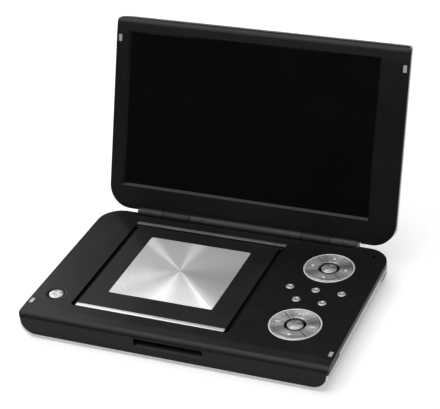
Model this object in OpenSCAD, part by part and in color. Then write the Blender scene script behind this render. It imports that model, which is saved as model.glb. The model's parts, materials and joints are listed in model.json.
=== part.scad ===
// Portable disc player with a hinged wide screen.
// Millimetres, +Z up. The player stands on its four feet at Z = 0 with its screen open.
// X runs to the user's right, Y away from the user. The origin is the centre of the open player's box.

/* [Base] */
// Width of the base and of the lid
base_w = 264; // [250:1:320]
// Depth of the base from front to back
base_d = 170; // [166:1:205]
// Height of the base above its feet
base_h = 22; // [21:0.5:28]
// Height of the rubber feet below the shell
foot_h = 1; // [0.6:0.1:3]
// Corner radius at the hinge side of base and lid
rear_corner_r = 20; // [8:1:24]
// Corner radius at the finger side of base and lid
front_corner_r = 2.5; // [1:0.5:5]
// Radius of the curve between the silver sides and the underside
belly_r = 14; // [9:0.5:16]
// Radius between the back wall and the underside
heel_r = 7; // [3:0.5:9]
// Wall of the silver shells
shell_wall = 1.8; // [1.2:0.1:2.2]
// Wall of the black covers
cover_wall = 2; // [1.6:0.1:2.2]
// How far the black cover reaches down the sides
skirt = 4.3; // [3:0.1:5]
// How far it reaches down at the two front corners
corner_skirt = 6.5; // [5.2:0.1:8]
// Length of the deeper skirt behind the front corners
corner_wrap = 28; // [12:1:40]
// Radius of the rolled front edge
roll_r = 5; // [3:0.5:6]
// Silver rim left around the black front
rim_w = 1.7; // [1:0.1:3]
// Silver rim left under the black front
rim_h = 2.7; // [2:0.1:4]

/* [Lid] */
// Thickness of the lid
lid_t = 15; // [14:0.5:20]
// Opening angle of the lid as drawn, from closed
lid_open = 108.66; // [90:1:130]
// Gap between base and lid when closed
lid_gap = 1.2; // [1.1:0.1:2]
// How far the black bezel reaches back along the lid's sides
lid_skirt = 2.4; // [2.2:0.1:4]
// Width of the visible screen
screen_w = 224.8; // [200:0.1:230]
// Height of the visible screen
screen_h = 134.1; // [110:0.1:136]
// Distance of the screen's lower edge from the lid's lower edge
screen_low = 22.4; // [21:0.5:26]
// How far the screen's centre is left of the lid's centre
screen_left = 6.4; // [0:0.2:8]
// Gap between the bezel's underside and the screen
screen_gap = 0.2; // [0.1:0.1:0.6]
// Width of the sloped edge around the screen
screen_bevel = 2; // [1:0.1:3]

/* [Hinge] */
// Outer radius of the hinge barrels
barrel_r = 5.4; // [4:0.1:6]
// How far the hinge axis is below the top face
axis_drop = 0.7; // [0:0.1:1.5]
// How far the hinge axis is behind the base
axis_behind = 1.56; // [1.2:0.02:3]
// Radius of the steel hinge shafts
shaft_r = 2; // [1.5:0.1:2.4]
// Distance from the middle to the outer end of the outer barrels
barrel_end = 101; // [92:1:108]
// Distance from the middle to the joint between outer barrel and knuckle
knuckle_far = 77.5; // [72:0.5:84]
// Distance from the middle to the joint between knuckle and middle barrel
knuckle_near = 51.8; // [46:0.5:60]

/* [Disc door] */
// Width of the disc door
door_w = 130; // [126:0.5:134]
// Depth of the disc door from its front edge to its back edge
door_d = 127.6; // [126:0.2:129]
// Thickness of the disc door
door_t = 2; // [1.6:0.1:2.2]
// Distance of the door's centre from the left of the base's centre line
door_left = 26; // [22:1:32]
// Distance of the door's front edge from the base's front
door_front = 22.5; // [20:0.5:26]
// Width of the finger groove at each side of the door
groove_w = 4.3; // [3.5:0.1:5]
// Depth of the ledge under the door, from the top face
ledge_drop = 2.6; // [2.4:0.1:3]
// Width of the brushed plate on the door
plate_w = 91.6; // [70:0.2:100]
// Depth of the brushed plate on the door
plate_d = 87.5; // [70:0.5:95]
// Radius of the well for the disc
well_r = 61.5; // [61:0.1:61.8]
// Depth of the disc well's floor below the top face
well_drop = 8; // [7.6:0.1:8.4]

/* [Keys] */
// Outer radius of the two round key pads
pad_r = 21.4; // [17:0.1:22]
// Distance of both key pads from the centre line
pad_x = 89.1; // [87:0.1:92]
// Place of the far key pad, front to back
far_pad_y = 46.4; // [44:0.1:48]
// Place of the near key pad, front to back
near_pad_y = -37.1; // [-40:0.1:-34]
// Radius of the key in the middle of a pad
centre_key_r = 6.6; // [5:0.1:8]
// Radius of the five small keys
small_key_r = 3.6; // [2.5:0.1:4.5]
// How far keys stand above the top face
key_rise = 0.7; // [0.3:0.1:0.8]
// Travel of every key
key_travel = 0.6; // [0.3:0.1:0.8]
// Radius of the button that opens the disc door
open_button_r = 6.1; // [5:0.1:8]
// Width of the slits between the keys of a pad
slit_w = 0.8; // [0.5:0.1:1.2]

/* [Drive] */
// Radius of the boss that a disc's hole seats on
hub_boss_r = 7.4; // [7.3:0.01:7.45]
// Radius of the turntable that carries the disc
turntable_r = 14; // [12:0.5:14.5]
// Travel of the laser pickup
pickup_travel = 32; // [24:1:33]
// Radius of the two guide rods
rod_r = 1; // [0.8:0.1:1.2]

/* [Sockets] */
// Radius of the three small jack bores
jack_bore_r = 1.8; // [1.5:0.01:2]
// Depth of the small jack bores
jack_bore_l = 12; // [10:0.5:14]
// Radius of the power inlet's opening
power_bore_r = 3; // [2.5:0.1:3.2]
// Radius of the volume wheel
wheel_r = 9.5; // [8:0.1:10]
// How far the volume wheel stands out of the side
wheel_out = 1; // [0.6:0.1:1.4]

/* [Hidden] */
$fn = 64;

// Colours
black_plastic = [0.05, 0.05, 0.055];
dark_plastic = [0.1, 0.1, 0.11];
silver_plastic = [0.78, 0.79, 0.8];
bright_metal = [0.85, 0.85, 0.87];
steel = [0.6, 0.6, 0.62];
grey_trim = [0.42, 0.42, 0.43];
board_green = [0.1, 0.32, 0.18];
rubber_black = [0.03, 0.03, 0.03];
screen_black = [0.02, 0.02, 0.025];

// Gaps and overlaps
seam = 0.2;        // between fixed pieces of one housing
fit = 0.05;        // radial clearance of a running fit
play = 0.3;        // between a moving piece and its neighbours
lap = 0.5;         // how far one shape runs into the next where they are one piece
past = 1;          // how far a cut runs past the face that it opens

// Heights in the base
top_z = foot_h + base_h;
floor_z = foot_h + shell_wall;
ceiling_z = top_z - cover_wall;
well_floor_t = 1.4;
well_floor_z = top_z - well_drop;
ledge_z = top_z - ledge_drop;
mid_x = -door_left;
back_y = base_d / 2;
front_y = -base_d / 2;
side_x = base_w / 2;

// Hinge axis and the open lid
hinge_y = back_y + axis_behind;
hinge_z = top_z - axis_drop;
lid_face = lid_gap + axis_drop;
lid_edge_step = 0.4;
lid_low = axis_behind + lid_edge_step;
lid_d = base_d - 1;
lid_high = lid_low + lid_d;
lid_tilt = 180 - lid_open;
lid_rim_h = 2.2;
lid_belly_r = 11;
lid_heel_r = 6;
lid_back_y = hinge_y + lid_high * cos(lid_tilt) + (lid_face + lid_t) * sin(lid_tilt);
origin_y = (lid_back_y + front_y) / 2;

// Rolled front edge
roll_slope_l = 12.5;
roll_slope_h = 0.4;

// Trough for the barrels and slots for the knuckles
trough_r = barrel_r + 0.5;
trough_end = barrel_end + 1.2;
barrel_gap = 0.3;
neck_l = 8;
neck_low = barrel_r;
neck_high = cover_wall + seam - axis_drop;
arm_w = 18;
arm_l = 12;
arm_t = 2.6;
centre_arm_x = 35;
outer_arm_x = (barrel_end + knuckle_far) / 2;
cable_bore_r = 3;
cap_r = 3.6;
cap_t = 0.8;

// Disc door
door_x0 = mid_x - door_w / 2;
door_x1 = mid_x + door_w / 2;
door_y0 = front_y + door_front;
door_y1 = door_y0 + door_d;
well_y = door_y0 + 65.25;
opening_gap = 0.5;
opening_front_r = 2.5;
opening_back_r = 1.2;
opening_y0 = door_y0 - opening_gap;
opening_y1 = door_y1 + 0.9;
pin_r = 0.75;
pin_back = 0.8;
pin_drop = 1.1;
lug_w = 1.6;
lug_l = 2.6;
lug_in = 0.45;
plate_t = 0.8;
plate_rise = 0.5;
plate_x = mid_x - 1;
plate_y = well_y + 3.35;
plate_corner_r = 1;
trim_w = 4;
trim_t = 0.6;
trim_rise = 0.25;
rear_trim_w = 4.2;
rear_trim_gap = 1.1;
ledge_t = 1.6;
well_wall = 1.6;
well_frame = 3;
hub_hole_r = 15;

// Door catch, latch and button
button_x = mid_x - door_w / 2 - 22.5;
button_y = door_y0 + 10.5;
catch_y = button_y;
catch_w = 6;
catch_t = 2;
catch_drop = 7.3;
catch_barb = 1;
catch_barb_h = 1.2;
catch_in = 1.5;
latch_t = 1.2;
latch_w = 8;
latch_clear = 0.2;
button_travel = 1.2;
dish_r = 8.6;
dish_depth = 0.4;
button_gap = 1.1;

// Finger recess in the front
recess_w = 59;
recess_high = 5;
recess_low = 13;
recess_step = 9.4;
recess_deep = 5;
recess_wall = 1.5;

// Key pads
ring_w = 1.4;
ring_rise = 0.45;
ring_drop = 1.2;
key_gap = 0.3;
centre_gap = 2.2;
quarter_in_r = centre_key_r + centre_gap;
quarter_out_r = pad_r - ring_w - key_gap;
key_thick = 2.4;
stem_r = 1.2;
stem_at = (quarter_in_r + quarter_out_r) / 2;
key_board_drop = 6;
key_board_t = 1.4;
switch_h = 0.5;
switch_r = 2.2;
stem_gap = key_travel + 0.15;
key_dome_r = 26;
small_dome_r = 10;
small_keys = [[67.1, 12.5], [88.9, 13.1], [110.7, 13.4], [78, -3.4], [99.8, -3.1]];
key_board_w = 50;
key_board_y0 = near_pad_y - pad_r - 2;
key_board_y1 = far_pad_y + 19;
key_board_x = pad_x - 0.8;

// Drive
chassis_z = floor_z + 4.8;
chassis_t = 0.8;
chassis_w = 92;
chassis_back = 36;
chassis_front = 71;
rod_z = chassis_z + 3.4;
rod_x = 17;
bracket_t = 3;
bracket_w = 5;
rod_back = 11;
pickup_rest = 25;
pickup_w = 42;
pickup_l = 15;
pickup_low = chassis_z + 1.6;
pickup_high = well_floor_z - well_floor_t - 0.4;
lens_r = 3.5;
lens_rise = 1.9;
slot_w = 18;
slot_front = pickup_rest + pickup_travel + lens_r + 0.6;
rod_front = pickup_rest + pickup_travel + pickup_l / 2 + 0.5;
screw_x = 27;
screw_r = 1.5;
journal_r = 0.8;
nut_gap = 0.2;
feed_motor_r = 2.5;
feed_motor_l = 13;
motor_r = 12;
hub_shaft_r = 1.5;
turntable_z = well_floor_z + 0.6;
turntable_t = 1.2;
boss_h = 3;
damper_x = 40;
damper_back = 28;
damper_front = -58;
damper_r = 4.2;
damper_waist = 2.9;
damper_bore = 1.6;
damper_post_r = 1.5;
damper_lip = 0.8;

// Boards, battery, speakers
board_z = floor_z + 1.5;
board_t = 1.6;
board_x0 = mid_x - 72;
board_x1 = mid_x + 75;
board_y0 = front_y + 33;
board_y1 = back_y - 17;
chips = [[-60, 20, 18, 18], [-58, -8, 12, 16], [-30, 45, 14, 14], [20, 30, 10, 14], [25, -15, 12, 10]];
chip_h = 1.2;
standoff_r = 2.5;
battery_x0 = pad_x - 34;
battery_x1 = pad_x + 30;
battery_y0 = front_y + 37;
battery_y1 = back_y - 40;
battery_z = floor_z + 0.4;
battery_h = 9.6;
battery_corner_r = 3;
hatch_in = 6;
hatch_t = 1.6;
speaker_x = side_x - 28;
speaker_y = front_y + 19;
speaker_r = 12;
speaker_h = 5;
grille_slot_w = 1.6;
grille_slot_l = 16;
grille_pitch = 3.2;
grille_reach = 2;

// Feet, screws, posts
foot_r = 5;
foot_sunk = 0.6;
front_foot_x = side_x - 19;
front_foot_y = front_y + 7.5;
rear_foot_x = side_x - 36;
rear_foot_y = back_y - 9;
post_r = 3;
post_hole_r = 1.25;
post_low = floor_z + 0.2;
screw_head_r = 2.6;
screw_head_h = 1;
screw_shank_r = 1.2;
screw_l = 9;
posts = [[-side_x + 23, back_y - 15], [-side_x + 23, front_y + 57], [mid_x + 6, back_y - 9],
    [pad_x - 37, front_y + 11], [side_x - 20, back_y - 12], [mid_x - 38, front_y + 11]];

// Sockets on the left side and the wheel on the right
socket_z = top_z - 8.4;
power_y = back_y - 25;
switch_y = back_y - 41;
jack_ys = [back_y - 55, back_y - 68, back_y - 81];
jack_nose_r = 3.2;
jack_body_w = 8;
jack_body_h = 7;
jack_body_l = 14;
jack_body_in = 2.6;
power_nose_r = jack_nose_r + 0.4;
power_body = 10;
power_pin_r = 0.9;
power_bore_l = 9;
switch_l = 6;
knob_h = 2.4;
switch_travel = 4;
knob_out = 0.6;
knob_flange = 1;
knob_gap = 0.5;
wheel_x = side_x + wheel_out - wheel_r;
wheel_y = back_y - 27;
wheel_t = 3.2;
wheel_z = top_z - 9.8;
wheel_slot = sqrt(pow(wheel_r + play, 2) - pow(wheel_r - wheel_out - shell_wall - play, 2));
wheel_bore_r = 1.5;
wheel_pin_r = wheel_bore_r - fit;

// Catch pads, sensor
pad_catch_x = side_x - 3.8;
pad_catch_y = front_y + 18.5;
catch_pad_w = 3;
catch_pad_l = 6;
catch_pad_rise = 0.35;
catch_pad_sunk = 0.8;
sensor_x = side_x - 13;
sensor_y = back_y - 12;
sensor_r = 1.6;

// Screen module
bezel_lap = 2.2;
panel_t = 1.2;
lcd_frame_t = 5;
lcd_frame_wall = 2.5;
lcd_x = -screen_left;
lcd_y = lid_low + screen_low + screen_h / 2;
panel_face = -lid_face - cover_wall - screen_gap;
inverter_w = 120;
inverter_h = 5;
inverter_x = 0;
inverter_y = lid_low + 13.4;
inverter_t = 1.2;
lid_post_x = 66;
lid_post_in = 5.8;
lid_screw_l = 6;

function key_angle(k) = 90 * k;

// A rectangle whose front corners have radius rf and whose back corners have radius rr
module plan(w, d, rf, rr) {
    translate([-w / 2, -d / 2 + rf]) square([w, d - rf - rr]);
    translate([-w / 2 + rf, -d / 2]) square([w - 2 * rf, d / 2]);
    translate([-w / 2 + rr, 0]) square([w - 2 * rr, d / 2]);
    for (s = [-1, 1]) {
        translate([s * (w / 2 - rf), -d / 2 + rf]) circle(rf);
        translate([s * (w / 2 - rr), d / 2 - rr]) circle(rr);
    }
}

// The part of a section under z = 0 with a radius r1 at its low left and r2 at its low right corner
module trough_section(x0, x1, h, r1, r2) {
    translate([x0, -h + max(r1, r2)]) square([x1 - x0, h - max(r1, r2)]);
    translate([x0 + r1, -h]) square([x1 - x0 - r1 - r2, h]);
    translate([x0 + r1, -h + r1]) circle(r1);
    translate([x1 - r2, -h + r2]) circle(r2);
    translate([x0, -h + r1]) square([(x1 - x0) / 2, h - r1]);
    translate([(x0 + x1) / 2, -h + r2]) square([(x1 - x0) / 2, h - r2]);
}

module along_y(d) rotate([90, 0, 0]) linear_extrude(d, center = true) children();
module along_x(w) rotate([90, 0, 90]) linear_extrude(w, center = true) children();
module bar_x(r, l) rotate([0, 90, 0]) cylinder(r = r, h = l);
module bar_y(r, l) rotate([-90, 0, 0]) cylinder(r = r, h = l);

// Box given by its two corners
module span(a, b) translate(a) cube(b - a);

// The outside of a tub, drawn in by i on every side. Its top is at z = 0
module tub(w, d, h, side_r, back_r, i) {
    intersection() {
        translate([0, 0, -h + i]) linear_extrude(h)
            plan(w - 2 * i, d - 2 * i, max(front_corner_r - i, 0.5), rear_corner_r - i);
        along_y(d) trough_section(-w / 2 + i, w / 2 - i, h - i, side_r - i, side_r - i);
        along_x(w) trough_section(-d / 2 + i, d / 2 - i, h - i, 0.5, back_r - i);
    }
}

// The black front seen straight on, grown by g
module apron_section(w, drop, r, g) {
    half = w / 2 - rim_w + g;
    translate([-half, -drop - g + r]) square([2 * half, drop + g - r]);
    translate([-half + r, -drop - g]) square([2 * (half - r), r + lap]);
    for (s = [-1, 1]) translate([s * (half - r), -drop - g + r]) circle(r);
}

// Silver tub that closes a housing from below
module case_shell(w, d, h, side_r, back_r, side_skirt, front_skirt, drop) {
    apron_r = side_r - rim_w;
    difference() {
        tub(w, d, h, side_r, back_r, 0);
        tub(w, d, h, side_r, back_r, shell_wall);
        span([-w, -d, -side_skirt - seam], [w, d, past]);
        span([-w, -d, -front_skirt - seam], [w, -d / 2 + corner_wrap + seam, past]);
        translate([0, -d / 2, 0]) along_y(2 * (cover_wall + seam)) apron_section(w, drop, apron_r, seam);
    }
}

// Side view of a cover, drawn in by i, with its rolled front edge
module cover_section(d, drop, i) {
    r = roll_r - i;
    z = -roll_slope_h - roll_r;
    y = -d / 2 + roll_r;
    polygon([[-d / 2 + i, -drop - past], [d / 2 - i, -drop - past], [d / 2 - i, -i],
        [-d / 2 + roll_slope_l, -i], [y, z + r], [y, z], [-d / 2 + i, z]]);
    translate([y, z]) circle(r);
}

module cover_block(w, d, drop, i) {
    intersection() {
        translate([0, 0, -drop]) linear_extrude(drop)
            plan(w - 2 * i, d - 2 * i, max(front_corner_r - i, 0.5), rear_corner_r - i);
        along_x(w) cover_section(d, drop, i);
    }
}

// Black cover of a housing: top face at z = 0, skirts down the sides, front wall down to drop
module case_cover(w, d, side_r, side_skirt, front_skirt, drop) {
    difference() {
        cover_block(w, d, front_skirt, 0);
        cover_block(w, d, front_skirt + past, cover_wall);
        span([-w, -d / 2 + corner_wrap, -front_skirt - past], [w, d, -side_skirt]);
    }
    intersection() {
        translate([0, -d / 2 + cover_wall / 2, 0]) along_y(cover_wall)
            apron_section(w, drop, side_r - rim_w, 0);
        span([-w, -d, -drop - past], [w, 0, -front_skirt + lap]);
        cover_block(w, d, drop, 0);
    }
}

// Everything that belongs to the base
module in_base() translate([0, -origin_y, 0]) children();

// Everything that belongs to the lid: X across, Y up the lid from the hinge axis, Z out of the screen
module in_lid() in_base() translate([0, hinge_y, hinge_z]) rotate([lid_tilt, 0, 0]) children();

// A lid piece drawn as a case with its front edge at the lid's free edge
module as_lid_case() translate([0, lid_low + lid_d / 2, -lid_face]) rotate([0, 0, 180]) children();

module hinge_bar(r, x0, x1) translate([x0, 0, 0]) bar_x(r, x1 - x0);
module at_hinge() translate([0, hinge_y, hinge_z]) children();

// Cut for barrels, knuckles and their necks out of the base's rear edge
module hinge_cut() {
    at_hinge() {
        hinge_bar(trough_r, -trough_end, trough_end);
        span([-trough_end, -neck_l / 2, -neck_low], [trough_end, 0, 0]);
        for (s = [-1, 1]) {
            neck_x = s * (knuckle_near + knuckle_far) / 2;
            half = (knuckle_far - knuckle_near) / 2;
            span([neck_x - half, -neck_l / 2 - seam, -neck_low - seam],
                [neck_x + half, 0, -neck_high + seam / 2]);
        }
    }
}

// Dished opening around the door button
module button_cut() {
    dish_sphere_r = (dish_r * dish_r + dish_depth * dish_depth) / (2 * dish_depth);
    translate([button_x, button_y, 0]) {
        translate([0, 0, ceiling_z - past]) cylinder(r = open_button_r + button_gap, h = cover_wall + 2 * past);
        translate([0, 0, top_z + dish_sphere_r - dish_depth]) sphere(dish_sphere_r, $fn = 128);
    }
}

module key_cut(x, y, r) translate([x, y, ceiling_z - past]) cylinder(r = r, h = cover_wall + 2 * past);

module rounded_box_2d(x0, x1, y0, y1, r) {
    translate([x0 + r, y0]) square([x1 - x0 - 2 * r, y1 - y0]);
    translate([x0, y0 + r]) square([x1 - x0, y1 - y0 - 2 * r]);
    for (x = [x0 + r, x1 - r]) {
        for (y = [y0 + r, y1 - r]) translate([x, y]) circle(r);
    }
}

// Wedge-shaped space that a finger reaches into to lift the lid
module finger_recess(grow, front) {
    translate([0, front_y, top_z]) along_x(recess_w + 2 * grow)
        polygon([[-front, -recess_high + grow], [recess_deep + grow, -recess_high + grow],
            [recess_deep + grow, -recess_step - grow], [-front, -recess_low - grow]]);
}

module catch_pad(sunk) {
    translate([0, 0, -sunk / 2]) cube([catch_pad_w, catch_pad_l, sunk], center = true);
}

module foot_places() {
    for (s = [-1, 1]) {
        translate([s * front_foot_x, front_foot_y, 0]) children();
        translate([s * rear_foot_x, rear_foot_y, 0]) children();
    }
}

module damper_places() {
    for (s = [-1, 1], y = [damper_front, damper_back])
        translate([mid_x + s * damper_x, well_y + y, 0]) children();
}

module speaker_places() {
    for (s = [-1, 1]) translate([s * speaker_x, speaker_y, 0]) children();
}

module bottom_shell() in_base() color(silver_plastic) {
    difference() {
        union() {
            translate([0, 0, top_z])
                case_shell(base_w, base_d, base_h, belly_r, heel_r, skirt, corner_skirt, base_h - rim_h);
            damper_places() translate([0, 0, floor_z - lap])
                cylinder(r = damper_post_r, h = chassis_z + chassis_t + damper_lip + lap - floor_z);
        }
        hinge_cut();
        translate([0, 0, foot_h - past]) linear_extrude(shell_wall + 2 * past)
            rounded_box_2d(battery_x0 + hatch_in - seam, battery_x1 - hatch_in + seam,
                battery_y0 + hatch_in - seam, battery_y1 - hatch_in + seam, battery_corner_r);
        foot_places() translate([0, 0, foot_h - past]) cylinder(r = foot_r + seam / 2, h = past + foot_sunk);
        for (p = posts) translate([p[0], p[1], foot_h - past]) {
            cylinder(r = screw_head_r + seam, h = past + screw_head_h);
            cylinder(r = screw_shank_r + seam, h = past + 2 * shell_wall);
        }
        speaker_places() for (k = [-grille_reach : grille_reach])
            span([-grille_slot_l / 2, k * grille_pitch - grille_slot_w / 2, foot_h - past],
                [grille_slot_l / 2, k * grille_pitch + grille_slot_w / 2, floor_z + past]);
        translate([-side_x - past, power_y, socket_z]) bar_x(power_nose_r + seam / 2, 2 * shell_wall + past);
        for (y = jack_ys) translate([-side_x - past, y, socket_z])
            bar_x(jack_nose_r + seam / 2, 2 * shell_wall + past);
        span([-side_x - past, switch_y - switch_l / 2 - play, socket_z - knob_h / 2 - play],
            [-side_x + shell_wall + past, switch_y + switch_l / 2 + switch_travel + play,
                socket_z + knob_h / 2 + play]);
        span([side_x - shell_wall - past, wheel_y - wheel_slot, wheel_z - play],
            [side_x + past, wheel_y + wheel_slot, wheel_z + wheel_t + play]);
    }
}

module top_cover() in_base() color(black_plastic) {
    difference() {
        union() {
            translate([0, 0, top_z])
                case_cover(base_w, base_d, belly_r, skirt, corner_skirt, base_h - rim_h);
            intersection() {
                finger_recess(recess_wall, -cover_wall / 2);
                span([-side_x, front_y, foot_h], [side_x, back_y, top_z - cover_wall / 2]);
            }
            for (p = posts) translate([p[0], p[1], post_low])
                cylinder(r = post_r, h = ceiling_z + lap - post_low);
            translate([wheel_x, wheel_y, wheel_z - play])
                cylinder(r = wheel_pin_r, h = ceiling_z + lap - wheel_z + play);
            translate([wheel_x, wheel_y, wheel_z + wheel_t + play])
                cylinder(r = 2 * wheel_pin_r, h = ceiling_z + lap - wheel_z - wheel_t - play);
        }
        finger_recess(0, past);
        hinge_cut();
        button_cut();
        for (y = [far_pad_y, near_pad_y]) key_cut(pad_x, y, pad_r);
        for (p = small_keys) key_cut(p[0], p[1], small_key_r + key_gap);
        translate([mid_x, (opening_y0 + opening_y1) / 2, ceiling_z - past])
            linear_extrude(cover_wall + 2 * past)
                plan(door_w + 2 * groove_w, opening_y1 - opening_y0, opening_front_r, opening_back_r);
        for (p = posts) translate([p[0], p[1], post_low - past])
            cylinder(r = post_hole_r, h = screw_l + past);
        span([door_x0 - groove_w - seam, opening_y1 + rear_trim_gap, top_z - trim_t],
            [door_x1 + groove_w + seam, opening_y1 + rear_trim_gap + rear_trim_w, top_z + past]);
        for (s = [-1, 1]) translate([s * pad_catch_x, pad_catch_y, top_z + past])
            catch_pad(2 * catch_pad_sunk + 2 * past - catch_pad_sunk);
        translate([sensor_x, sensor_y, ceiling_z - past])
            cylinder(r = sensor_r, h = cover_wall + 2 * past, $fn = 32);
    }
}

// Tray under the door: a ledge around the opening, the round well and its floor
module disc_well() in_base() color(dark_plastic) {
    x0 = door_x0 - groove_w - well_frame;
    x1 = door_x1 + groove_w + well_frame;
    y0 = opening_y0 - well_frame;
    y1 = opening_y1 + well_frame;
    difference() {
        union() {
            span([x0, y0, ledge_z - ledge_t], [x1, y1, ledge_z]);
            difference() {
                span([x0, y0, ledge_z - lap], [x1, y1, ceiling_z]);
                span([x0 + well_frame, y0 + well_frame, ledge_z - past], [x1 - well_frame, y1 - well_frame, top_z]);
            }
            translate([mid_x, well_y, well_floor_z - well_floor_t])
                cylinder(r = well_r + well_wall, h = ledge_z - well_floor_z + well_floor_t, $fn = 128);
            for (s = [-1, 1]) {
                lug_x = mid_x + s * (door_w / 2 + groove_w - lug_in - lug_w / 2);
                span([lug_x - lug_w / 2, door_y1 - pin_back - lug_l / 2, ledge_z - lap],
                    [lug_x + lug_w / 2, door_y1 - pin_back + lug_l / 2, top_z]);
            }
        }
        translate([mid_x, well_y, well_floor_z]) cylinder(r = well_r, h = well_drop, $fn = 128);
        translate([mid_x, well_y, well_floor_z - 2 * well_floor_t]) cylinder(r = hub_hole_r, h = well_drop);
        span([mid_x - slot_w / 2, well_y - slot_front, well_floor_z - 2 * well_floor_t],
            [mid_x + slot_w / 2, well_y, well_floor_z + past]);
        span([door_x0 - catch_in, catch_y - latch_w / 2 - play, ledge_z - 2 * ledge_t],
            [door_x0 + catch_in + catch_t + 1, catch_y + latch_w / 2 + play, ledge_z + past]);
        translate([mid_x - side_x, door_y1 - pin_back, top_z - pin_drop]) bar_x(pin_r + fit, base_w);
    }
}

module rear_trim() in_base() color(grey_trim)
    span([door_x0 - groove_w, opening_y1 + rear_trim_gap + seam / 2, top_z - trim_t],
        [door_x1 + groove_w, opening_y1 + rear_trim_gap + rear_trim_w - seam / 2, top_z + seam / 2]);

// Brackets that hold a bar running along Y, at distance x from the disc's axis
module chassis_bracket(x, y, h) {
    span([mid_x + x - bracket_w / 2, well_y + y, chassis_z],
        [mid_x + x + bracket_w / 2, well_y + y + bracket_t, chassis_z + h]);
}

module loader_chassis() in_base() color(steel) {
    bracket_h = rod_z - chassis_z + bracket_w / 2 - lap;
    difference() {
        union() {
            span([mid_x - chassis_w / 2, well_y - chassis_front, chassis_z],
                [mid_x + chassis_w / 2, well_y + chassis_back, chassis_z + chassis_t]);
            for (s = [-1, 1]) {
                chassis_bracket(s * rod_x, -rod_front - bracket_t, bracket_h);
                chassis_bracket(s * rod_x, -rod_back, bracket_h);
            }
            chassis_bracket(screw_x, -rod_front - bracket_t, bracket_h);
            chassis_bracket(screw_x, -rod_back, bracket_h);
        }
        for (s = [-1, 1]) translate([mid_x + s * rod_x, well_y - rod_front - bracket_t - past, rod_z])
            bar_y(rod_r + fit, rod_front + 2 * bracket_t);
        translate([mid_x + screw_x, well_y - rod_front - bracket_t - past, rod_z])
            bar_y(journal_r + fit, rod_front + 2 * bracket_t);
        damper_places() translate([0, 0, chassis_z - past]) cylinder(r = damper_waist + fit, h = 3 * past);
    }
}

module chassis_dampers() in_base() color(rubber_black) {
    damper_places() translate([0, 0, chassis_z - damper_lip]) difference() {
        union() {
            cylinder(r = damper_r, h = damper_lip);
            cylinder(r = damper_waist, h = chassis_t + 2 * damper_lip);
            translate([0, 0, damper_lip + chassis_t]) cylinder(r = damper_r, h = damper_lip);
        }
        translate([0, 0, -past]) cylinder(r = damper_bore, h = chassis_t + 2 * damper_lip + 2 * past);
    }
}

module guide_rods() in_base() color(bright_metal) {
    for (s = [-1, 1]) translate([mid_x + s * rod_x, well_y - rod_front - bracket_t, rod_z])
        bar_y(rod_r, rod_front + 2 * bracket_t - rod_back);
}

module spindle_motor() in_base() color(steel) {
    bottom = chassis_z + chassis_t;
    translate([mid_x, well_y, bottom]) difference() {
        cylinder(r = motor_r, h = well_floor_z - well_floor_t - bottom - play);
        translate([0, 0, chassis_t]) cylinder(r = hub_shaft_r + fit, h = well_drop);
    }
}

module feed_motor() in_base() color(steel)
    translate([mid_x + screw_x, well_y - rod_back + bracket_t + seam, rod_z]) difference() {
        bar_y(feed_motor_r, feed_motor_l);
        translate([0, -past, 0]) bar_y(journal_r + fit, feed_motor_l / 2);
    }

module main_board() in_base() color(board_green) {
    difference() {
        span([board_x0, board_y0, board_z], [board_x1, board_y1, board_z + board_t]);
        damper_places() translate([0, 0, board_z - past]) cylinder(r = standoff_r, h = board_t + 2 * past);
        for (p = posts) translate([p[0], p[1], board_z - past])
            cylinder(r = post_r + play, h = board_t + 2 * past);
    }
}

module board_chips() in_base() color(dark_plastic) {
    for (c = chips) translate([mid_x + c[0], well_y + c[1], board_z + board_t])
        translate([-c[2] / 2, -c[3] / 2, 0]) cube([c[2], c[3], chip_h]);
}

module switch_dome(x, y) translate([x, y, top_z - key_board_drop - lap])
    cylinder(r = switch_r, h = switch_h + lap, $fn = 32);

// Circuit board under the keys, with a switch dome under every stem
module key_board() in_base() color(board_green) {
    span([key_board_x - key_board_w / 2, key_board_y0, top_z - key_board_drop - key_board_t],
        [key_board_x + key_board_w / 2, key_board_y1, top_z - key_board_drop]);
    for (p = small_keys) switch_dome(p[0], p[1]);
    for (y = [far_pad_y, near_pad_y]) {
        switch_dome(pad_x, y);
        for (k = [0 : 3]) switch_dome(pad_x + stem_at * cos(key_angle(k)), y + stem_at * sin(key_angle(k)));
    }
}

module battery_pack() in_base() color(dark_plastic)
    translate([0, 0, battery_z]) linear_extrude(battery_h)
        rounded_box_2d(battery_x0, battery_x1, battery_y0, battery_y1, battery_corner_r);

module battery_cover() in_base() color(silver_plastic)
    translate([0, 0, foot_h]) linear_extrude(hatch_t)
        rounded_box_2d(battery_x0 + hatch_in, battery_x1 - hatch_in,
            battery_y0 + hatch_in, battery_y1 - hatch_in, battery_corner_r);

module speakers() in_base() color(dark_plastic) {
    speaker_places() translate([0, 0, floor_z]) {
        difference() {
            cylinder(r = speaker_r, h = speaker_h / 2);
            translate([0, 0, -past]) cylinder(r1 = speaker_r - 1, r2 = speaker_r / 2, h = past + speaker_h / 4);
        }
        translate([0, 0, speaker_h / 2 - lap]) cylinder(r = speaker_r / 2, h = speaker_h / 2 + lap);
    }
}

module rubber_feet() in_base() color(rubber_black)
    foot_places() cylinder(r = foot_r, h = foot_h + foot_sunk);

// Screw with a flat head at z = 0 and its shank upwards
module screw(l) {
    cylinder(r = screw_head_r, h = screw_head_h - seam);
    cylinder(r = screw_shank_r, h = l);
}

module base_screws() in_base() color(steel)
    for (p = posts) translate([p[0], p[1], foot_h + seam / 2]) screw(screw_l - seam);

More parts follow.
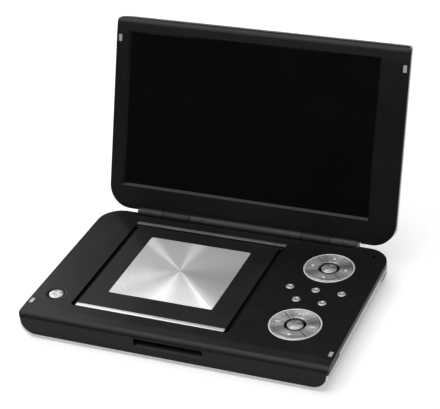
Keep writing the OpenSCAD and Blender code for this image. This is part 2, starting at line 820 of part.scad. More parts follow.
module power_inlet() in_base() color(dark_plastic)
    translate([-side_x + seam, power_y, socket_z]) {
        difference() {
            union() {
                bar_x(power_nose_r, shell_wall + past);
                span([jack_body_in, -power_body / 2, -power_body / 2 + 1],
                    [jack_body_l, power_body / 2, power_body / 2 - 1]);
            }
            translate([-past, 0, 0]) bar_x(power_bore_r, power_bore_l + past);
        }
        translate([shell_wall, 0, 0]) bar_x(power_pin_r, power_bore_l);
    }

module audio_jacks() in_base() color(dark_plastic)
    for (y = jack_ys) translate([-side_x + seam, y, socket_z]) difference() {
        union() {
            bar_x(jack_nose_r, shell_wall + past);
            span([jack_body_in, -jack_body_w / 2, -jack_body_h / 2],
                [jack_body_l, jack_body_w / 2, jack_body_h / 2]);
        }
        translate([-past, 0, 0]) bar_x(jack_bore_r, jack_bore_l + past);
    }

module base_catch_pads() in_base() color(bright_metal)
    for (s = [-1, 1]) translate([s * pad_catch_x, pad_catch_y, top_z + catch_pad_rise])
        catch_pad(catch_pad_rise + catch_pad_sunk);

module hinge_knuckles() in_base() color(black_plastic)
    for (s = [-1, 1]) at_hinge() {
        x0 = min(s * (knuckle_near + barrel_gap), s * (knuckle_far - barrel_gap));
        x1 = max(s * (knuckle_near + barrel_gap), s * (knuckle_far - barrel_gap));
        difference() {
            union() {
                hinge_bar(barrel_r, x0, x1);
                span([x0, -neck_l, -neck_low], [x1, 0, -neck_high]);
            }
            hinge_bar(shaft_r + fit, x0 - past, x1 + past);
        }
    }

module hinge_shafts() in_base() color(steel)
    for (s = [-1, 1]) at_hinge() {
        near = s * (knuckle_near + 2 * barrel_gap);
        far = s * (barrel_end - 4);
        hinge_bar(shaft_r, min(near, far), max(near, far));
    }

module pad_rings() in_base() color(bright_metal)
    for (y = [far_pad_y, near_pad_y]) translate([pad_x, y, top_z - ring_drop]) difference() {
        cylinder(r = pad_r - seam / 2, h = ring_drop + ring_rise, $fn = 96);
        translate([0, 0, -past]) cylinder(r = pad_r - ring_w, h = ring_drop + ring_rise + 2 * past, $fn = 96);
    }

module sensor_window() in_base() color(screen_black)
    translate([sensor_x, sensor_y, ceiling_z]) cylinder(r = sensor_r - fit, h = cover_wall, $fn = 32);

// Clearance for the barrels in the lid's lower edge
module lid_hinge_cut() {
    hinge_bar(barrel_r + fit, -barrel_end - cap_t - 2 * barrel_gap, barrel_end + cap_t + 2 * barrel_gap);
    for (s = [-1, 1]) {
        x = s * (knuckle_near + knuckle_far) / 2;
        half = (knuckle_far - knuckle_near) / 2;
        hinge_bar(trough_r, x - half, x + half);
        for (a = [centre_arm_x, outer_arm_x]) barrel_arm(s * a, seam);
    }
}

// Arm that carries a barrel on the inside of the lid, grown by g
module barrel_arm(x, g) {
    span([x - arm_w / 2 - g, -barrel_r / 2 - g, -lid_face - cover_wall - arm_t - g],
        [x + arm_w / 2 + g, lid_low + arm_l + g, -lid_face - cover_wall - seam + g / 2]);
}

module lid_post_places() {
    for (s = [-1, 1], y = [lid_low + lid_post_in + shell_wall, lid_high - lid_post_in])
        translate([s * lid_post_x, y, -lid_face]) children();
}

module lid_bezel() in_lid() color(black_plastic) {
    difference() {
        union() {
            as_lid_case() case_cover(base_w, lid_d, lid_belly_r, lid_skirt, lid_skirt, lid_t - lid_rim_h);
            lid_post_places() translate([0, 0, -lid_t + shell_wall + seam])
                cylinder(r = post_r, h = lid_t - shell_wall - cover_wall + lap - seam);
        }
        translate([lcd_x, lcd_y, -lid_face]) {
            cube([screen_w, screen_h, 3 * cover_wall], center = true);
            screen_slope();
        }
        lid_hinge_cut();
        for (s = [-1, 1]) translate([s * pad_catch_x, hinge_y - pad_catch_y, -lid_face + past])
            catch_pad(catch_pad_sunk + past);
        lid_post_places() translate([0, 0, -lid_t])
            cylinder(r = post_hole_r, h = lid_screw_l + shell_wall);
    }
}

// Side view of the slopes at the two ends of an opening of the given size
module slope_section(size) {
    half = size / 2;
    wide = half + screen_bevel;
    polygon([[-wide, 0], [-half, -cover_wall], [half, -cover_wall], [wide, 0], [wide, past], [-wide, past]]);
}

// The four slopes that lead from the bezel's face down to the screen
module screen_slope() {
    intersection() {
        along_x(screen_w + 2 * screen_bevel) slope_section(screen_h);
        rotate([0, 0, 90]) along_x(screen_h + 2 * screen_bevel) slope_section(screen_w);
    }
}

module lid_back_shell() in_lid() color(silver_plastic) {
    difference() {
        as_lid_case() case_shell(base_w, lid_d, lid_t, lid_belly_r, lid_heel_r, lid_skirt, lid_skirt,
            lid_t - lid_rim_h);
        lid_hinge_cut();
        lid_post_places() translate([0, 0, -lid_t - past]) {
            cylinder(r = screw_head_r + seam, h = past + screw_head_h);
            cylinder(r = screw_shank_r + seam, h = 2 * past + shell_wall);
        }
    }
}

// Metal frame behind the screen's glass
module lcd_frame() in_lid() color(steel) {
    w = screen_w + 2 * bezel_lap;
    h = screen_h + 2 * bezel_lap;
    face = panel_face - panel_t;
    span([lcd_x - w / 2, lcd_y - h / 2, face - lcd_frame_t], [lcd_x + w / 2, lcd_y + h / 2, face]);
}

module lcd_panel() in_lid() color(screen_black) {
    w = screen_w + 2 * bezel_lap - 1;
    h = screen_h + 2 * bezel_lap - 1;
    span([lcd_x - w / 2, lcd_y - h / 2, panel_face - panel_t], [lcd_x + w / 2, lcd_y + h / 2, panel_face]);
}

module inverter_board() in_lid() color(board_green)
    span([inverter_x - inverter_w / 2, inverter_y, -lid_face - lid_t / 2 - inverter_t],
        [inverter_x + inverter_w / 2, inverter_y + inverter_h, -lid_face - lid_t / 2]);

module hinge_barrels() in_lid() color(black_plastic) {
    difference() {
        union() {
            hinge_bar(barrel_r, -knuckle_near + barrel_gap, knuckle_near - barrel_gap);
            for (s = [-1, 1]) barrel_arm(s * centre_arm_x, 0);
        }
        hinge_bar(cable_bore_r, -knuckle_near, knuckle_near);
    }
    for (s = [-1, 1]) difference() {
        x0 = min(s * (knuckle_far + barrel_gap), s * barrel_end);
        x1 = max(s * (knuckle_far + barrel_gap), s * barrel_end);
        union() {
            hinge_bar(barrel_r, x0, x1);
            barrel_arm(s * outer_arm_x, 0);
        }
        hinge_bar(shaft_r + fit, x0 - past, x1 + past);
    }
}

module barrel_caps() in_lid() color(grey_trim)
    for (s = [-1, 1]) {
        x0 = min(s * barrel_end, s * (barrel_end + cap_t));
        hinge_bar(cap_r, x0, x0 + cap_t);
    }

module lid_catch_pads() in_lid() color(bright_metal)
    for (s = [-1, 1]) translate([s * pad_catch_x, hinge_y - pad_catch_y, -lid_face + catch_pad_rise])
        catch_pad(catch_pad_rise + catch_pad_sunk);

module lid_screws() in_lid() color(steel)
    lid_post_places() translate([0, 0, -lid_t + seam / 2]) screw(lid_screw_l);

// Door with its pivot pins and the prong that the latch holds
module disc_door() in_base() color(black_plastic) {
    difference() {
        union() {
            span([door_x0, door_y0, top_z - door_t], [door_x1, door_y1, top_z]);
            for (s = [-1, 1]) {
                inner = mid_x + s * (door_w / 2 - past);
                outer = mid_x + s * (door_w / 2 + groove_w - play);
                translate([min(inner, outer), door_y1 - pin_back, top_z - pin_drop])
                    bar_x(pin_r, abs(outer - inner));
            }
            span([door_x0 + catch_in, catch_y - catch_w / 2, top_z - catch_drop],
                [door_x0 + catch_in + catch_t, catch_y + catch_w / 2, top_z - door_t + lap]);
            span([door_x0 + catch_in - catch_barb, catch_y - catch_w / 2, top_z - catch_drop],
                [door_x0 + catch_in + lap, catch_y + catch_w / 2, top_z - catch_drop + catch_barb_h]);
        }
        translate([plate_x - plate_w / 2, plate_y - plate_d / 2, top_z - plate_t + plate_rise])
            cube([plate_w, plate_d, plate_t + past]);
        span([door_x0 - past, door_y0 - past, top_z - trim_t + trim_rise],
            [door_x1 + past, door_y0 + trim_w, top_z + past]);
    }
}

module door_plate() in_base() color(bright_metal)
    translate([0, 0, top_z - plate_t + plate_rise]) linear_extrude(plate_t)
        rounded_box_2d(plate_x - plate_w / 2 + seam / 2, plate_x + plate_w / 2 - seam / 2,
            plate_y - plate_d / 2 + seam / 2, plate_y + plate_d / 2 - seam / 2, plate_corner_r);

module door_front_trim() in_base() color(bright_metal)
    span([door_x0 + seam, door_y0, top_z - trim_t + trim_rise],
        [door_x1 - seam, door_y0 + trim_w - seam / 2, top_z + trim_rise]);

// Turntable, boss and the shaft that runs in the motor
module spindle_hub() in_base() color(steel) translate([mid_x, well_y, 0]) {
    translate([0, 0, turntable_z]) cylinder(r = turntable_r, h = turntable_t);
    translate([0, 0, turntable_z + turntable_t - lap]) cylinder(r = hub_boss_r, h = boss_h + lap);
    translate([0, 0, chassis_z + 2 * chassis_t + play])
        cylinder(r = hub_shaft_r, h = turntable_z + lap - chassis_z - 2 * chassis_t - play);
}

module feed_screw() in_base() color(bright_metal) translate([mid_x + screw_x, well_y, rod_z]) {
    translate([0, -rod_front + play, 0]) bar_y(screw_r, rod_front - rod_back - 2 * play);
    translate([0, -rod_front - bracket_t + play, 0])
        bar_y(journal_r, rod_front - rod_back + 2 * bracket_t + feed_motor_l / 4);
}

module laser_pickup() in_base() color(dark_plastic) translate([mid_x, well_y - pickup_rest, 0]) {
    difference() {
        union() {
            span([-pickup_w / 2, -pickup_l / 2, pickup_low], [pickup_w / 2, pickup_l / 2, pickup_high]);
            span([pickup_w / 2 - lap, -pickup_l / 4, rod_z - screw_r / 2],
                [screw_x - screw_r - nut_gap, pickup_l / 4, rod_z + screw_r / 2]);
        }
        for (s = [-1, 1]) translate([s * rod_x, -pickup_l, rod_z]) bar_y(rod_r + fit, 2 * pickup_l);
    }
}

module pickup_lens() in_base() color(screen_black)
    translate([mid_x, well_y - pickup_rest, pickup_high]) cylinder(r = lens_r, h = lens_rise, $fn = 48);

// A round key: domed cap, flange under the cover and a stem over its switch
module round_key(x, y, r, rise, dome_r) {
    cap_low = top_z + rise - key_thick;
    translate([x, y, 0]) {
        intersection() {
            translate([0, 0, cap_low]) cylinder(r = r, h = key_thick);
            translate([0, 0, top_z + rise - dome_r]) sphere(dome_r, $fn = 96);
        }
        translate([0, 0, top_z - key_board_drop + switch_h + stem_gap])
            cylinder(r = stem_r, h = cap_low + lap - (top_z - key_board_drop + switch_h + stem_gap), $fn = 32);
    }
}

// One of the four keys around a pad's centre; k counts from the right, anticlockwise
module quarter_key(y, k) {
    cap_low = top_z + key_rise - key_thick;
    stem_low = top_z - key_board_drop + switch_h + stem_gap;
    corner = slit_w / 2 * sqrt(2);
    translate([pad_x, y, 0]) rotate([0, 0, key_angle(k)]) {
        translate([0, 0, cap_low]) linear_extrude(key_thick) intersection() {
            difference() {
                circle(quarter_out_r, $fn = 96);
                circle(quarter_in_r, $fn = 64);
            }
            polygon([[corner, 0], [corner + pad_r, pad_r], [corner + pad_r, -pad_r]]);
        }
        translate([stem_at, 0, stem_low]) cylinder(r = stem_r, h = cap_low + lap - stem_low, $fn = 32);
    }
}

module small_key(i) in_base() color(bright_metal)
    round_key(small_keys[i][0], small_keys[i][1], small_key_r, key_rise, small_dome_r);

module subtitle_key() small_key(0);
module audio_key() small_key(1);
module menu_key() small_key(2);
module display_key() small_key(3);
module setup_key() small_key(4);

module right_key() in_base() color(bright_metal) quarter_key(far_pad_y, 0);
module up_key() in_base() color(bright_metal) quarter_key(far_pad_y, 1);
module left_key() in_base() color(bright_metal) quarter_key(far_pad_y, 2);
module down_key() in_base() color(bright_metal) quarter_key(far_pad_y, 3);
module ok_key() in_base() color(bright_metal)
    round_key(pad_x, far_pad_y, centre_key_r, key_rise, key_dome_r);

module next_key() in_base() color(bright_metal) quarter_key(near_pad_y, 0);
module play_key() in_base() color(bright_metal) quarter_key(near_pad_y, 1);
module previous_key() in_base() color(bright_metal) quarter_key(near_pad_y, 2);
module stop_key() in_base() color(bright_metal) quarter_key(near_pad_y, 3);
module zoom_key() in_base() color(bright_metal)
    round_key(pad_x, near_pad_y, centre_key_r, key_rise, key_dome_r);

// Button above the latch; its stem ends over the latch's slope
module open_button() in_base() color(bright_metal) {
    cap_low = top_z - key_thick;
    stem_low = top_z - catch_drop + catch_barb_h + latch_t + button_travel + 2 * play;
    translate([button_x, button_y, 0]) {
        intersection() {
            translate([0, 0, cap_low]) cylinder(r = open_button_r, h = key_thick + key_rise);
            translate([0, 0, top_z + key_rise - key_dome_r]) sphere(key_dome_r, $fn = 96);
        }
        translate([0, 0, stem_low]) cylinder(r = stem_r, h = cap_low + lap - stem_low, $fn = 32);
    }
}

// Slider that lies over the prong's barb
module door_latch() in_base() color(dark_plastic) {
    z = top_z - catch_drop + catch_barb_h + play;
    tip_x = door_x0 + catch_in - catch_barb - latch_clear;
    span([button_x - open_button_r / 2, catch_y - latch_w / 2, z], [tip_x, catch_y + latch_w / 2, z + latch_t]);
}

module power_switch() in_base() color(grey_trim) {
    flange_x = -side_x + shell_wall + knob_gap;
    span([-side_x - knob_out, switch_y - switch_l / 2, socket_z - knob_h / 2],
        [flange_x + lap, switch_y + switch_l / 2, socket_z + knob_h / 2]);
    span([flange_x, switch_y - switch_l / 2 - knob_flange, socket_z - knob_h / 2 - knob_flange],
        [flange_x + knob_flange, switch_y + switch_l / 2 + knob_flange,
            socket_z + knob_h / 2 + knob_flange]);
}

module volume_wheel() in_base() color(grey_trim)
    translate([wheel_x, wheel_y, wheel_z]) difference() {
        cylinder(r = wheel_r, h = wheel_t);
        translate([0, 0, -past]) cylinder(r = wheel_bore_r, h = wheel_t + 2 * past);
    }

bottom_shell();
top_cover();
disc_well();
rear_trim();
loader_chassis();
chassis_dampers();
guide_rods();
spindle_motor();
feed_motor();
main_board();
board_chips();
key_board();
battery_pack();
battery_cover();
speakers();
rubber_feet();
base_screws();
power_inlet();
audio_jacks();
base_catch_pads();
hinge_knuckles();
hinge_shafts();
pad_rings();
sensor_window();
lid_bezel();
lid_back_shell();
lcd_frame();
lcd_panel();
inverter_board();
hinge_barrels();
barrel_caps();
lid_catch_pads();
lid_screws();
disc_door();
door_plate();
door_front_trim();
spindle_hub();
feed_screw();
laser_pickup();
pickup_lens();
open_button();
door_latch();
power_switch();
volume_wheel();
subtitle_key();
audio_key();
menu_key();
display_key();
setup_key();
up_key();
down_key();
left_key();
right_key();
ok_key();
play_key();
stop_key();
previous_key();
next_key();
zoom_key();
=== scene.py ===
"""A portable disc player with a hinged wide screen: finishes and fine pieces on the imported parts."""

import json
import math

import bmesh
import bpy
from mathutils import Matrix, Vector


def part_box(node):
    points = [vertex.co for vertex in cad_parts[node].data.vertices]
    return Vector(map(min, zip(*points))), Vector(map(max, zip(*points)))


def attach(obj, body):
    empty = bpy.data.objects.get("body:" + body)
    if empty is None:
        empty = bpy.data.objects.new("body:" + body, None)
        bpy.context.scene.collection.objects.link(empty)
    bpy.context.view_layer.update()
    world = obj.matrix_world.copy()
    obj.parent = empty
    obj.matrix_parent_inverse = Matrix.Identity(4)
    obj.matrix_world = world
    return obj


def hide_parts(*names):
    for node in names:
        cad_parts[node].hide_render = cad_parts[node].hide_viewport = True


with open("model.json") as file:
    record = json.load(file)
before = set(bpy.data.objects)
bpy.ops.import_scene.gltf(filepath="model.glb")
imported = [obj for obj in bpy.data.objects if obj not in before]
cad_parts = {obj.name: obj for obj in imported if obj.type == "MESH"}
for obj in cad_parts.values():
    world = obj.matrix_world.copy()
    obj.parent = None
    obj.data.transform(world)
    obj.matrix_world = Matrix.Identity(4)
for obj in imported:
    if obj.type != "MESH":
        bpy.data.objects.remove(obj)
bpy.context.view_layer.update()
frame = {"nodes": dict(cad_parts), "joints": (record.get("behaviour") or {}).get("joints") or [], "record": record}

MM = 0.001
UP = Vector((0, 0, 1))
MERGE = 0.0005 * MM
JOINTS = {joint["name"]: joint for joint in frame["joints"]}
SLOTS = {part["node"]: part["material_slot"] for part in frame["record"]["subparts"]}

# How many cells of each pattern there are in a metre
SLOW_CLOUDS = 22.0
DUST_SPECKS = 420.0
DUST_CLOUDS = 160.0
ORANGE_PEEL = 700.0
BOARD_TRACKS = 170.0
SOLDER_PADS = 260.0
BRUSH_ACROSS = 7000.0
BRUSH_ALONG = 60.0
FLOOR_CLOUDS = 3.0

# How deep each surface's relief is, in millimetres
BRUSH_DEPTH = 0.006
PAINT_DEPTH = 0.006
GLASS_DEPTH = 0.001
TRACK_DEPTH = 0.03

# A Mix node's sockets for colour, which share their names with its other kinds
MIX_SHARE, MIX_FIRST, MIX_SECOND, MIX_COLOUR = 0, 6, 7, 2


# ---------------------------------------------------------------- places

def middle(box):
    """The centre of a box."""
    return (box[0] + box[1]) / 2


def foot(box):
    """The point at height 0 under the centre of a box."""
    return middle(box) * Vector((1, 1, 0))


def half_width(box):
    """The radius of what fills a box from side to side."""
    return (box[1].x - box[0].x) / 2


# ---------------------------------------------------------------- shader nodes

def feed(tree, socket, value):
    """Links a socket to another's output, or sets it. A plain colour may leave out its alpha."""
    if isinstance(value, bpy.types.NodeSocket):
        tree.links.new(value, socket)
    elif socket.type == "RGBA" and len(value) == 3:
        socket.default_value = (*value, 1)
    else:
        socket.default_value = value


def add(tree, kind, inputs=None, **settings):
    """Adds a shader node, sets its properties, and feeds its inputs."""
    made = tree.nodes.new("ShaderNode" + kind)
    for key, value in settings.items():
        setattr(made, key, value)
    for key, value in (inputs or {}).items():
        feed(tree, made.inputs[key], value)
    return made


def maths(tree, operation, first, second=0.0):
    """One sum on numbers."""
    return add(tree, "Math", {0: first, 1: second}, operation=operation).outputs[0]


def vectors(tree, operation, first, second=(0, 0, 0)):
    """One sum on vectors, giving a vector."""
    return add(tree, "VectorMath", {0: first, 1: second}, operation=operation).outputs["Vector"]


def ranged(tree, value, low, high, to_low, to_high):
    """Stretches a value from one range to another and holds it there."""
    made = add(tree, "MapRange", {"Value": value, "From Min": low, "From Max": high,
                                  "To Min": to_low, "To Max": to_high})
    return made.outputs["Result"]


def blend_colours(tree, share, first, second):
    """Mixes two colours by a share from 0 to 1."""
    made = add(tree, "Mix", data_type="RGBA")
    feed(tree, made.inputs[MIX_SHARE], share)
    feed(tree, made.inputs[MIX_FIRST], first)
    feed(tree, made.inputs[MIX_SECOND], second)
    return made.outputs[MIX_COLOUR]


def effect(name, inputs, outputs):
    """An empty node group with named inputs and outputs."""
    tree = bpy.data.node_groups.new(name, "ShaderNodeTree")
    for label, kind, value in inputs:
        socket = tree.interface.new_socket(label, in_out="INPUT", socket_type="NodeSocket" + kind)
        socket.default_value = value
    for label, kind in outputs:
        tree.interface.new_socket(label, in_out="OUTPUT", socket_type="NodeSocket" + kind)
    given = tree.nodes.new("NodeGroupInput").outputs
    result = tree.nodes.new("NodeGroupOutput").inputs
    return tree, given, result


def use(tree, group, **inputs):
    """Places an effect in a material."""
    made = add(tree, "Group", node_tree=group)
    for label, value in inputs.items():
        feed(tree, made.inputs[label.replace("_", " ")], value)
    return made.outputs


def make_moulded_grain():
    """The fine texture of a spark-worn mould, with the slow unevenness of moulded plastic."""
    tree, given, result = effect(
        "moulded grain", [("Grain", "Float", 0.3)], [("Tone", "Float"), ("Height", "Float")])
    place = add(tree, "TexCoord").outputs["Object"]
    scale = maths(tree, "DIVIDE", 1 / MM, given["Grain"])
    fine = add(tree, "TexNoise", {"Vector": place, "Scale": scale, "Detail": 2.0}).outputs["Fac"]
    slow = add(tree, "TexNoise", {"Vector": place, "Scale": SLOW_CLOUDS, "Detail": 3.0}).outputs["Fac"]
    tone = maths(tree, "ADD", maths(tree, "MULTIPLY", slow, 0.7), maths(tree, "MULTIPLY", fine, 0.3))
    tree.links.new(ranged(tree, tone, 0.35, 0.65, 0, 1), result["Tone"])
    tree.links.new(fine, result["Height"])
    return tree


def make_handling():
    """Where hands have left a faint film, and where specks of dust lie."""
    tree, given, result = effect(
        "handling", [("Spread", "Float", 30.0)], [("Film", "Float"), ("Dust", "Float")])
    place = add(tree, "TexCoord").outputs["Object"]
    cloud = add(tree, "TexNoise", {"Vector": place, "Scale": given["Spread"], "Detail": 5.0,
                                   "Roughness": 0.65, "Distortion": 1.4}).outputs["Fac"]
    tree.links.new(ranged(tree, cloud, 0.45, 0.7, 0, 1), result["Film"])
    specks = add(tree, "TexVoronoi", {"Vector": place, "Scale": DUST_SPECKS}).outputs["Distance"]
    sparse = add(tree, "TexNoise", {"Vector": place, "Scale": DUST_CLOUDS}).outputs["Fac"]
    near = ranged(tree, specks, 0.05, 0.11, 1, 0)
    tree.links.new(maths(tree, "MULTIPLY", near, ranged(tree, sparse, 0.58, 0.66, 0, 1)), result["Dust"])
    return tree


def make_turned_finish():
    """The fine rings that turning leaves in metal. They spread a reflection into rays from the centre."""
    tree, given, result = effect(
        "turned finish",
        [("From centre", "Vector", (0, 0, 0)), ("Pitch", "Float", 0.05), ("Spread", "Float", 0.4)],
        [("Ring", "Float"), ("Turn", "Float"), ("Normal", "Vector")])
    flat = vectors(tree, "MULTIPLY", given["From centre"], (1, 1, 0))
    radius = add(tree, "VectorMath", {0: flat}, operation="LENGTH").outputs["Value"]
    outward = vectors(tree, "NORMALIZE", flat)
    rings = maths(tree, "DIVIDE", radius, maths(tree, "MULTIPLY", given["Pitch"], MM))
    ring = maths(tree, "FLOOR", rings)
    line = add(tree, "TexWhiteNoise", {"W": ring}, noise_dimensions="1D").outputs["Value"]
    band = add(tree, "TexNoise", {"W": maths(tree, "MULTIPLY", rings, 0.03), "Scale": 1.0, "Detail": 4.0},
               noise_dimensions="1D").outputs["Fac"]
    parts = add(tree, "SeparateXYZ", {0: flat}).outputs
    turn = maths(tree, "ARCTAN2", parts["Y"], parts["X"])
    tilt = maths(tree, "MULTIPLY", maths(tree, "SUBTRACT", line, 0.5), given["Spread"])
    across = add(tree, "VectorTransform", {0: outward}, vector_type="VECTOR",
                 convert_from="OBJECT", convert_to="WORLD").outputs[0]
    leaned = add(tree, "VectorMath", {0: across, "Scale": tilt}, operation="SCALE").outputs["Vector"]
    face = add(tree, "NewGeometry").outputs["Normal"]
    normal = vectors(tree, "NORMALIZE", vectors(tree, "ADD", face, leaned))
    mixed = maths(tree, "ADD", maths(tree, "MULTIPLY", line, 0.35), maths(tree, "MULTIPLY", band, 0.65))
    tree.links.new(mixed, result["Ring"])
    tree.links.new(turn, result["Turn"])
    tree.links.new(normal, result["Normal"])
    return tree


def make_brushed_lines():
    """Straight brush marks, long one way and fine across."""
    tree, given, result = effect(
        "brushed lines", [("Stretch", "Vector", (1, 1, 1))], [("Tone", "Float"), ("Height", "Float")])
    place = vectors(tree, "MULTIPLY", add(tree, "TexCoord").outputs["Object"], given["Stretch"])
    fine = add(tree, "TexNoise", {"Vector": place, "Scale": 1.0, "Detail": 3.0}).outputs["Fac"]
    wide = add(tree, "TexNoise", {"Vector": place, "Scale": 0.12, "Detail": 2.0}).outputs["Fac"]
    tone = maths(tree, "ADD", maths(tree, "MULTIPLY", fine, 0.6), maths(tree, "MULTIPLY", wide, 0.4))
    tree.links.new(ranged(tree, tone, 0.3, 0.7, 0, 1), result["Tone"])
    tree.links.new(fine, result["Height"])
    return tree


def make_paint_flakes():
    """Metal flakes in silver paint."""
    tree, given, result = effect(
        "paint flakes", [("Flake", "Float", 0.12)], [("Sparkle", "Float"), ("Height", "Float")])
    place = add(tree, "TexCoord").outputs["Object"]
    scale = maths(tree, "DIVIDE", 1 / MM, given["Flake"])
    cells = add(tree, "TexVoronoi", {"Vector": place, "Scale": scale}).outputs
    parts = add(tree, "SeparateColor", {0: cells["Color"]}).outputs
    peel = add(tree, "TexNoise", {"Vector": place, "Scale": ORANGE_PEEL, "Detail": 1.0}).outputs["Fac"]
    tree.links.new(parts[0], result["Sparkle"])
    tree.links.new(peel, result["Height"])
    return tree


GRAIN = make_moulded_grain()
HANDLING = make_handling()
TURNED = make_turned_finish()
BRUSHED = make_brushed_lines()
FLAKES = make_paint_flakes()


# ---------------------------------------------------------------- finishes

def new_finish(name):
    """A material with its surface shader."""
    material = bpy.data.materials.new(name)
    material.use_nodes = True
    tree = material.node_tree
    shader = tree.nodes["Principled BSDF"]
    return material, tree, shader


def raise_from(tree, shader, height, depth):
    """Bumps a surface by a height of the given depth in millimetres."""
    bump = add(tree, "Bump", {"Height": height, "Distance": depth * MM, "Strength": 1.0})
    tree.links.new(bump.outputs["Normal"], shader.inputs["Normal"])


def moulded(name, dark, light, rough, grain=0.3, depth=0.01, film=0.06, dust=0.15, gloss=0.5):
    """Moulded plastic or rubber: a fine grain, a faint film of handling and a little dust."""
    material, tree, shader = new_finish(name)
    texture = use(tree, GRAIN, Grain=grain)
    touched = use(tree, HANDLING)
    colour = blend_colours(tree, texture["Tone"], dark, light)
    dusty = maths(tree, "MULTIPLY", touched["Dust"], dust)
    colour = blend_colours(tree, dusty, colour, (0.35, 0.34, 0.33))
    tree.links.new(colour, shader.inputs["Base Color"])
    roughness = maths(tree, "ADD", ranged(tree, texture["Tone"], 0, 1, rough - 0.03, rough + 0.03),
                      maths(tree, "MULTIPLY", touched["Film"], film))
    tree.links.new(roughness, shader.inputs["Roughness"])
    shader.inputs["Specular IOR Level"].default_value = gloss
    raise_from(tree, shader, texture["Height"], depth)
    return material


def brushed(name, dark, light, rough, along, metallic=1.0):
    """Brushed metal with its marks along an axis: 0 is X, 1 is Y and 2 is Z."""
    material, tree, shader = new_finish(name)
    stretch = [BRUSH_ACROSS] * 3
    stretch[along] = BRUSH_ALONG
    lines = use(tree, BRUSHED, Stretch=stretch)
    touched = use(tree, HANDLING)
    tree.links.new(blend_colours(tree, lines["Tone"], dark, light), shader.inputs["Base Color"])
    roughness = maths(tree, "ADD", ranged(tree, lines["Tone"], 0, 1, rough + 0.06, rough - 0.06),
                      maths(tree, "MULTIPLY", touched["Film"], 0.08))
    tree.links.new(roughness, shader.inputs["Roughness"])
    shader.inputs["Metallic"].default_value = metallic
    raise_from(tree, shader, lines["Height"], BRUSH_DEPTH)
    return material


def painted_silver(name):
    """Silver paint on plastic: flakes under a thin clear skin."""
    material, tree, shader = new_finish(name)
    flakes = use(tree, FLAKES)
    touched = use(tree, HANDLING, Spread=18.0)
    colour = blend_colours(tree, flakes["Sparkle"], (0.8, 0.805, 0.81), (0.95, 0.955, 0.96))
    tree.links.new(colour, shader.inputs["Base Color"])
    roughness = maths(tree, "ADD", ranged(tree, flakes["Sparkle"], 0, 1, 0.42, 0.3),
                      maths(tree, "MULTIPLY", touched["Film"], 0.08))
    tree.links.new(roughness, shader.inputs["Roughness"])
    shader.inputs["Metallic"].default_value = 0.3
    shader.inputs["Coat Weight"].default_value = 0.25
    shader.inputs["Coat Roughness"].default_value = 0.2
    raise_from(tree, shader, flakes["Height"], PAINT_DEPTH)
    return material


def turned(name, dark, light, rough, spread, rings_show, metallic, rays=(), centre=None):
    """Turned metal. A piece's from_axis attribute says where its centre is, unless centre gives it. Each
    ray is painted into the base colour: a painted highlight where its weight brightens, painted shade
    where its weight is below 0. It has a turn from X in degrees, a power that narrows it and that weight."""
    material, tree, shader = new_finish(name)
    if centre is None:
        away = add(tree, "Attribute", attribute_name="from_axis").outputs["Vector"]
    else:
        away = vectors(tree, "SUBTRACT", add(tree, "TexCoord").outputs["Object"], tuple(centre))
    rings = use(tree, TURNED, From_centre=away, Spread=spread)
    share = ranged(tree, rings["Ring"], 0, 1, 0.5 - rings_show, 0.5 + rings_show)
    # The rays are painted reflections. Each adds a painted highlight, or painted shade for a negative weight, to
    # the colour share, fixed to the piece.
    for heading, power, weight in rays:
        off = maths(tree, "COSINE", maths(tree, "SUBTRACT", rings["Turn"], math.radians(heading)))
        ray = maths(tree, "POWER", maths(tree, "MAXIMUM", off, 0.0), power)
        share = maths(tree, "ADD", share, maths(tree, "MULTIPLY", ray, weight))
    share = maths(tree, "MAXIMUM", maths(tree, "MINIMUM", share, 1.0), 0.0)
    tree.links.new(blend_colours(tree, share, dark, light), shader.inputs["Base Color"])
    roughness = ranged(tree, rings["Ring"], 0, 1, rough + 0.05, rough - 0.05)
    tree.links.new(roughness, shader.inputs["Roughness"])
    tree.links.new(rings["Normal"], shader.inputs["Normal"])
    shader.inputs["Metallic"].default_value = metallic
    return material


def dark_glass(name, tint, rough, gloss=0.5):
    """A dark, smooth window: a switched-off screen, a lens or an infrared window."""
    material, tree, shader = new_finish(name)
    touched = use(tree, HANDLING, Spread=9.0)
    texture = use(tree, GRAIN, Grain=0.08)
    brighter = tuple(1.5 * c for c in tint)
    tree.links.new(blend_colours(tree, texture["Tone"], tint, brighter), shader.inputs["Base Color"])
    roughness = ranged(tree, touched["Film"], 0, 1, rough, rough + 0.07)
    tree.links.new(roughness, shader.inputs["Roughness"])
    shader.inputs["Specular IOR Level"].default_value = gloss
    raise_from(tree, shader, texture["Height"], GLASS_DEPTH)
    return material


def circuit_board(name, mask, track, tin):
    """Solder mask over copper tracks, with tinned pads."""
    material, tree, shader = new_finish(name)
    place = add(tree, "TexCoord").outputs["Object"]
    bricks = add(tree, "TexBrick", {"Vector": place, "Scale": BOARD_TRACKS, "Mortar Size": 0.03})
    tracks = bricks.outputs["Fac"]
    pads = add(tree, "TexVoronoi", {"Vector": place, "Scale": SOLDER_PADS}).outputs["Distance"]
    tinned = ranged(tree, pads, 0.16, 0.2, 1, 0)
    colour = blend_colours(tree, tracks, mask, track)
    colour = blend_colours(tree, tinned, colour, tin)
    tree.links.new(colour, shader.inputs["Base Color"])
    tree.links.new(tinned, shader.inputs["Metallic"])
    tree.links.new(ranged(tree, tracks, 0, 1, 0.42, 0.3), shader.inputs["Roughness"])
    raise_from(tree, shader, tracks, TRACK_DEPTH)
    return material


# The plate's painted rays, painted highlights and painted shade in place of its reflections, spread from a point a
# little to the left of the disc's axis and behind it
RAY_CENTRE = foot(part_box("spindle_hub")) + Vector((-2.1, 4.7, 0)) * MM
PLATE_PAINTED_RAYS = ((91, 70, 0.55), (140, 220, 0.6), (270, 40, 0.4), (316, 150, 0.55),
              (355, 8, -0.3), (180, 12, -0.18), (235, 30, -0.2))
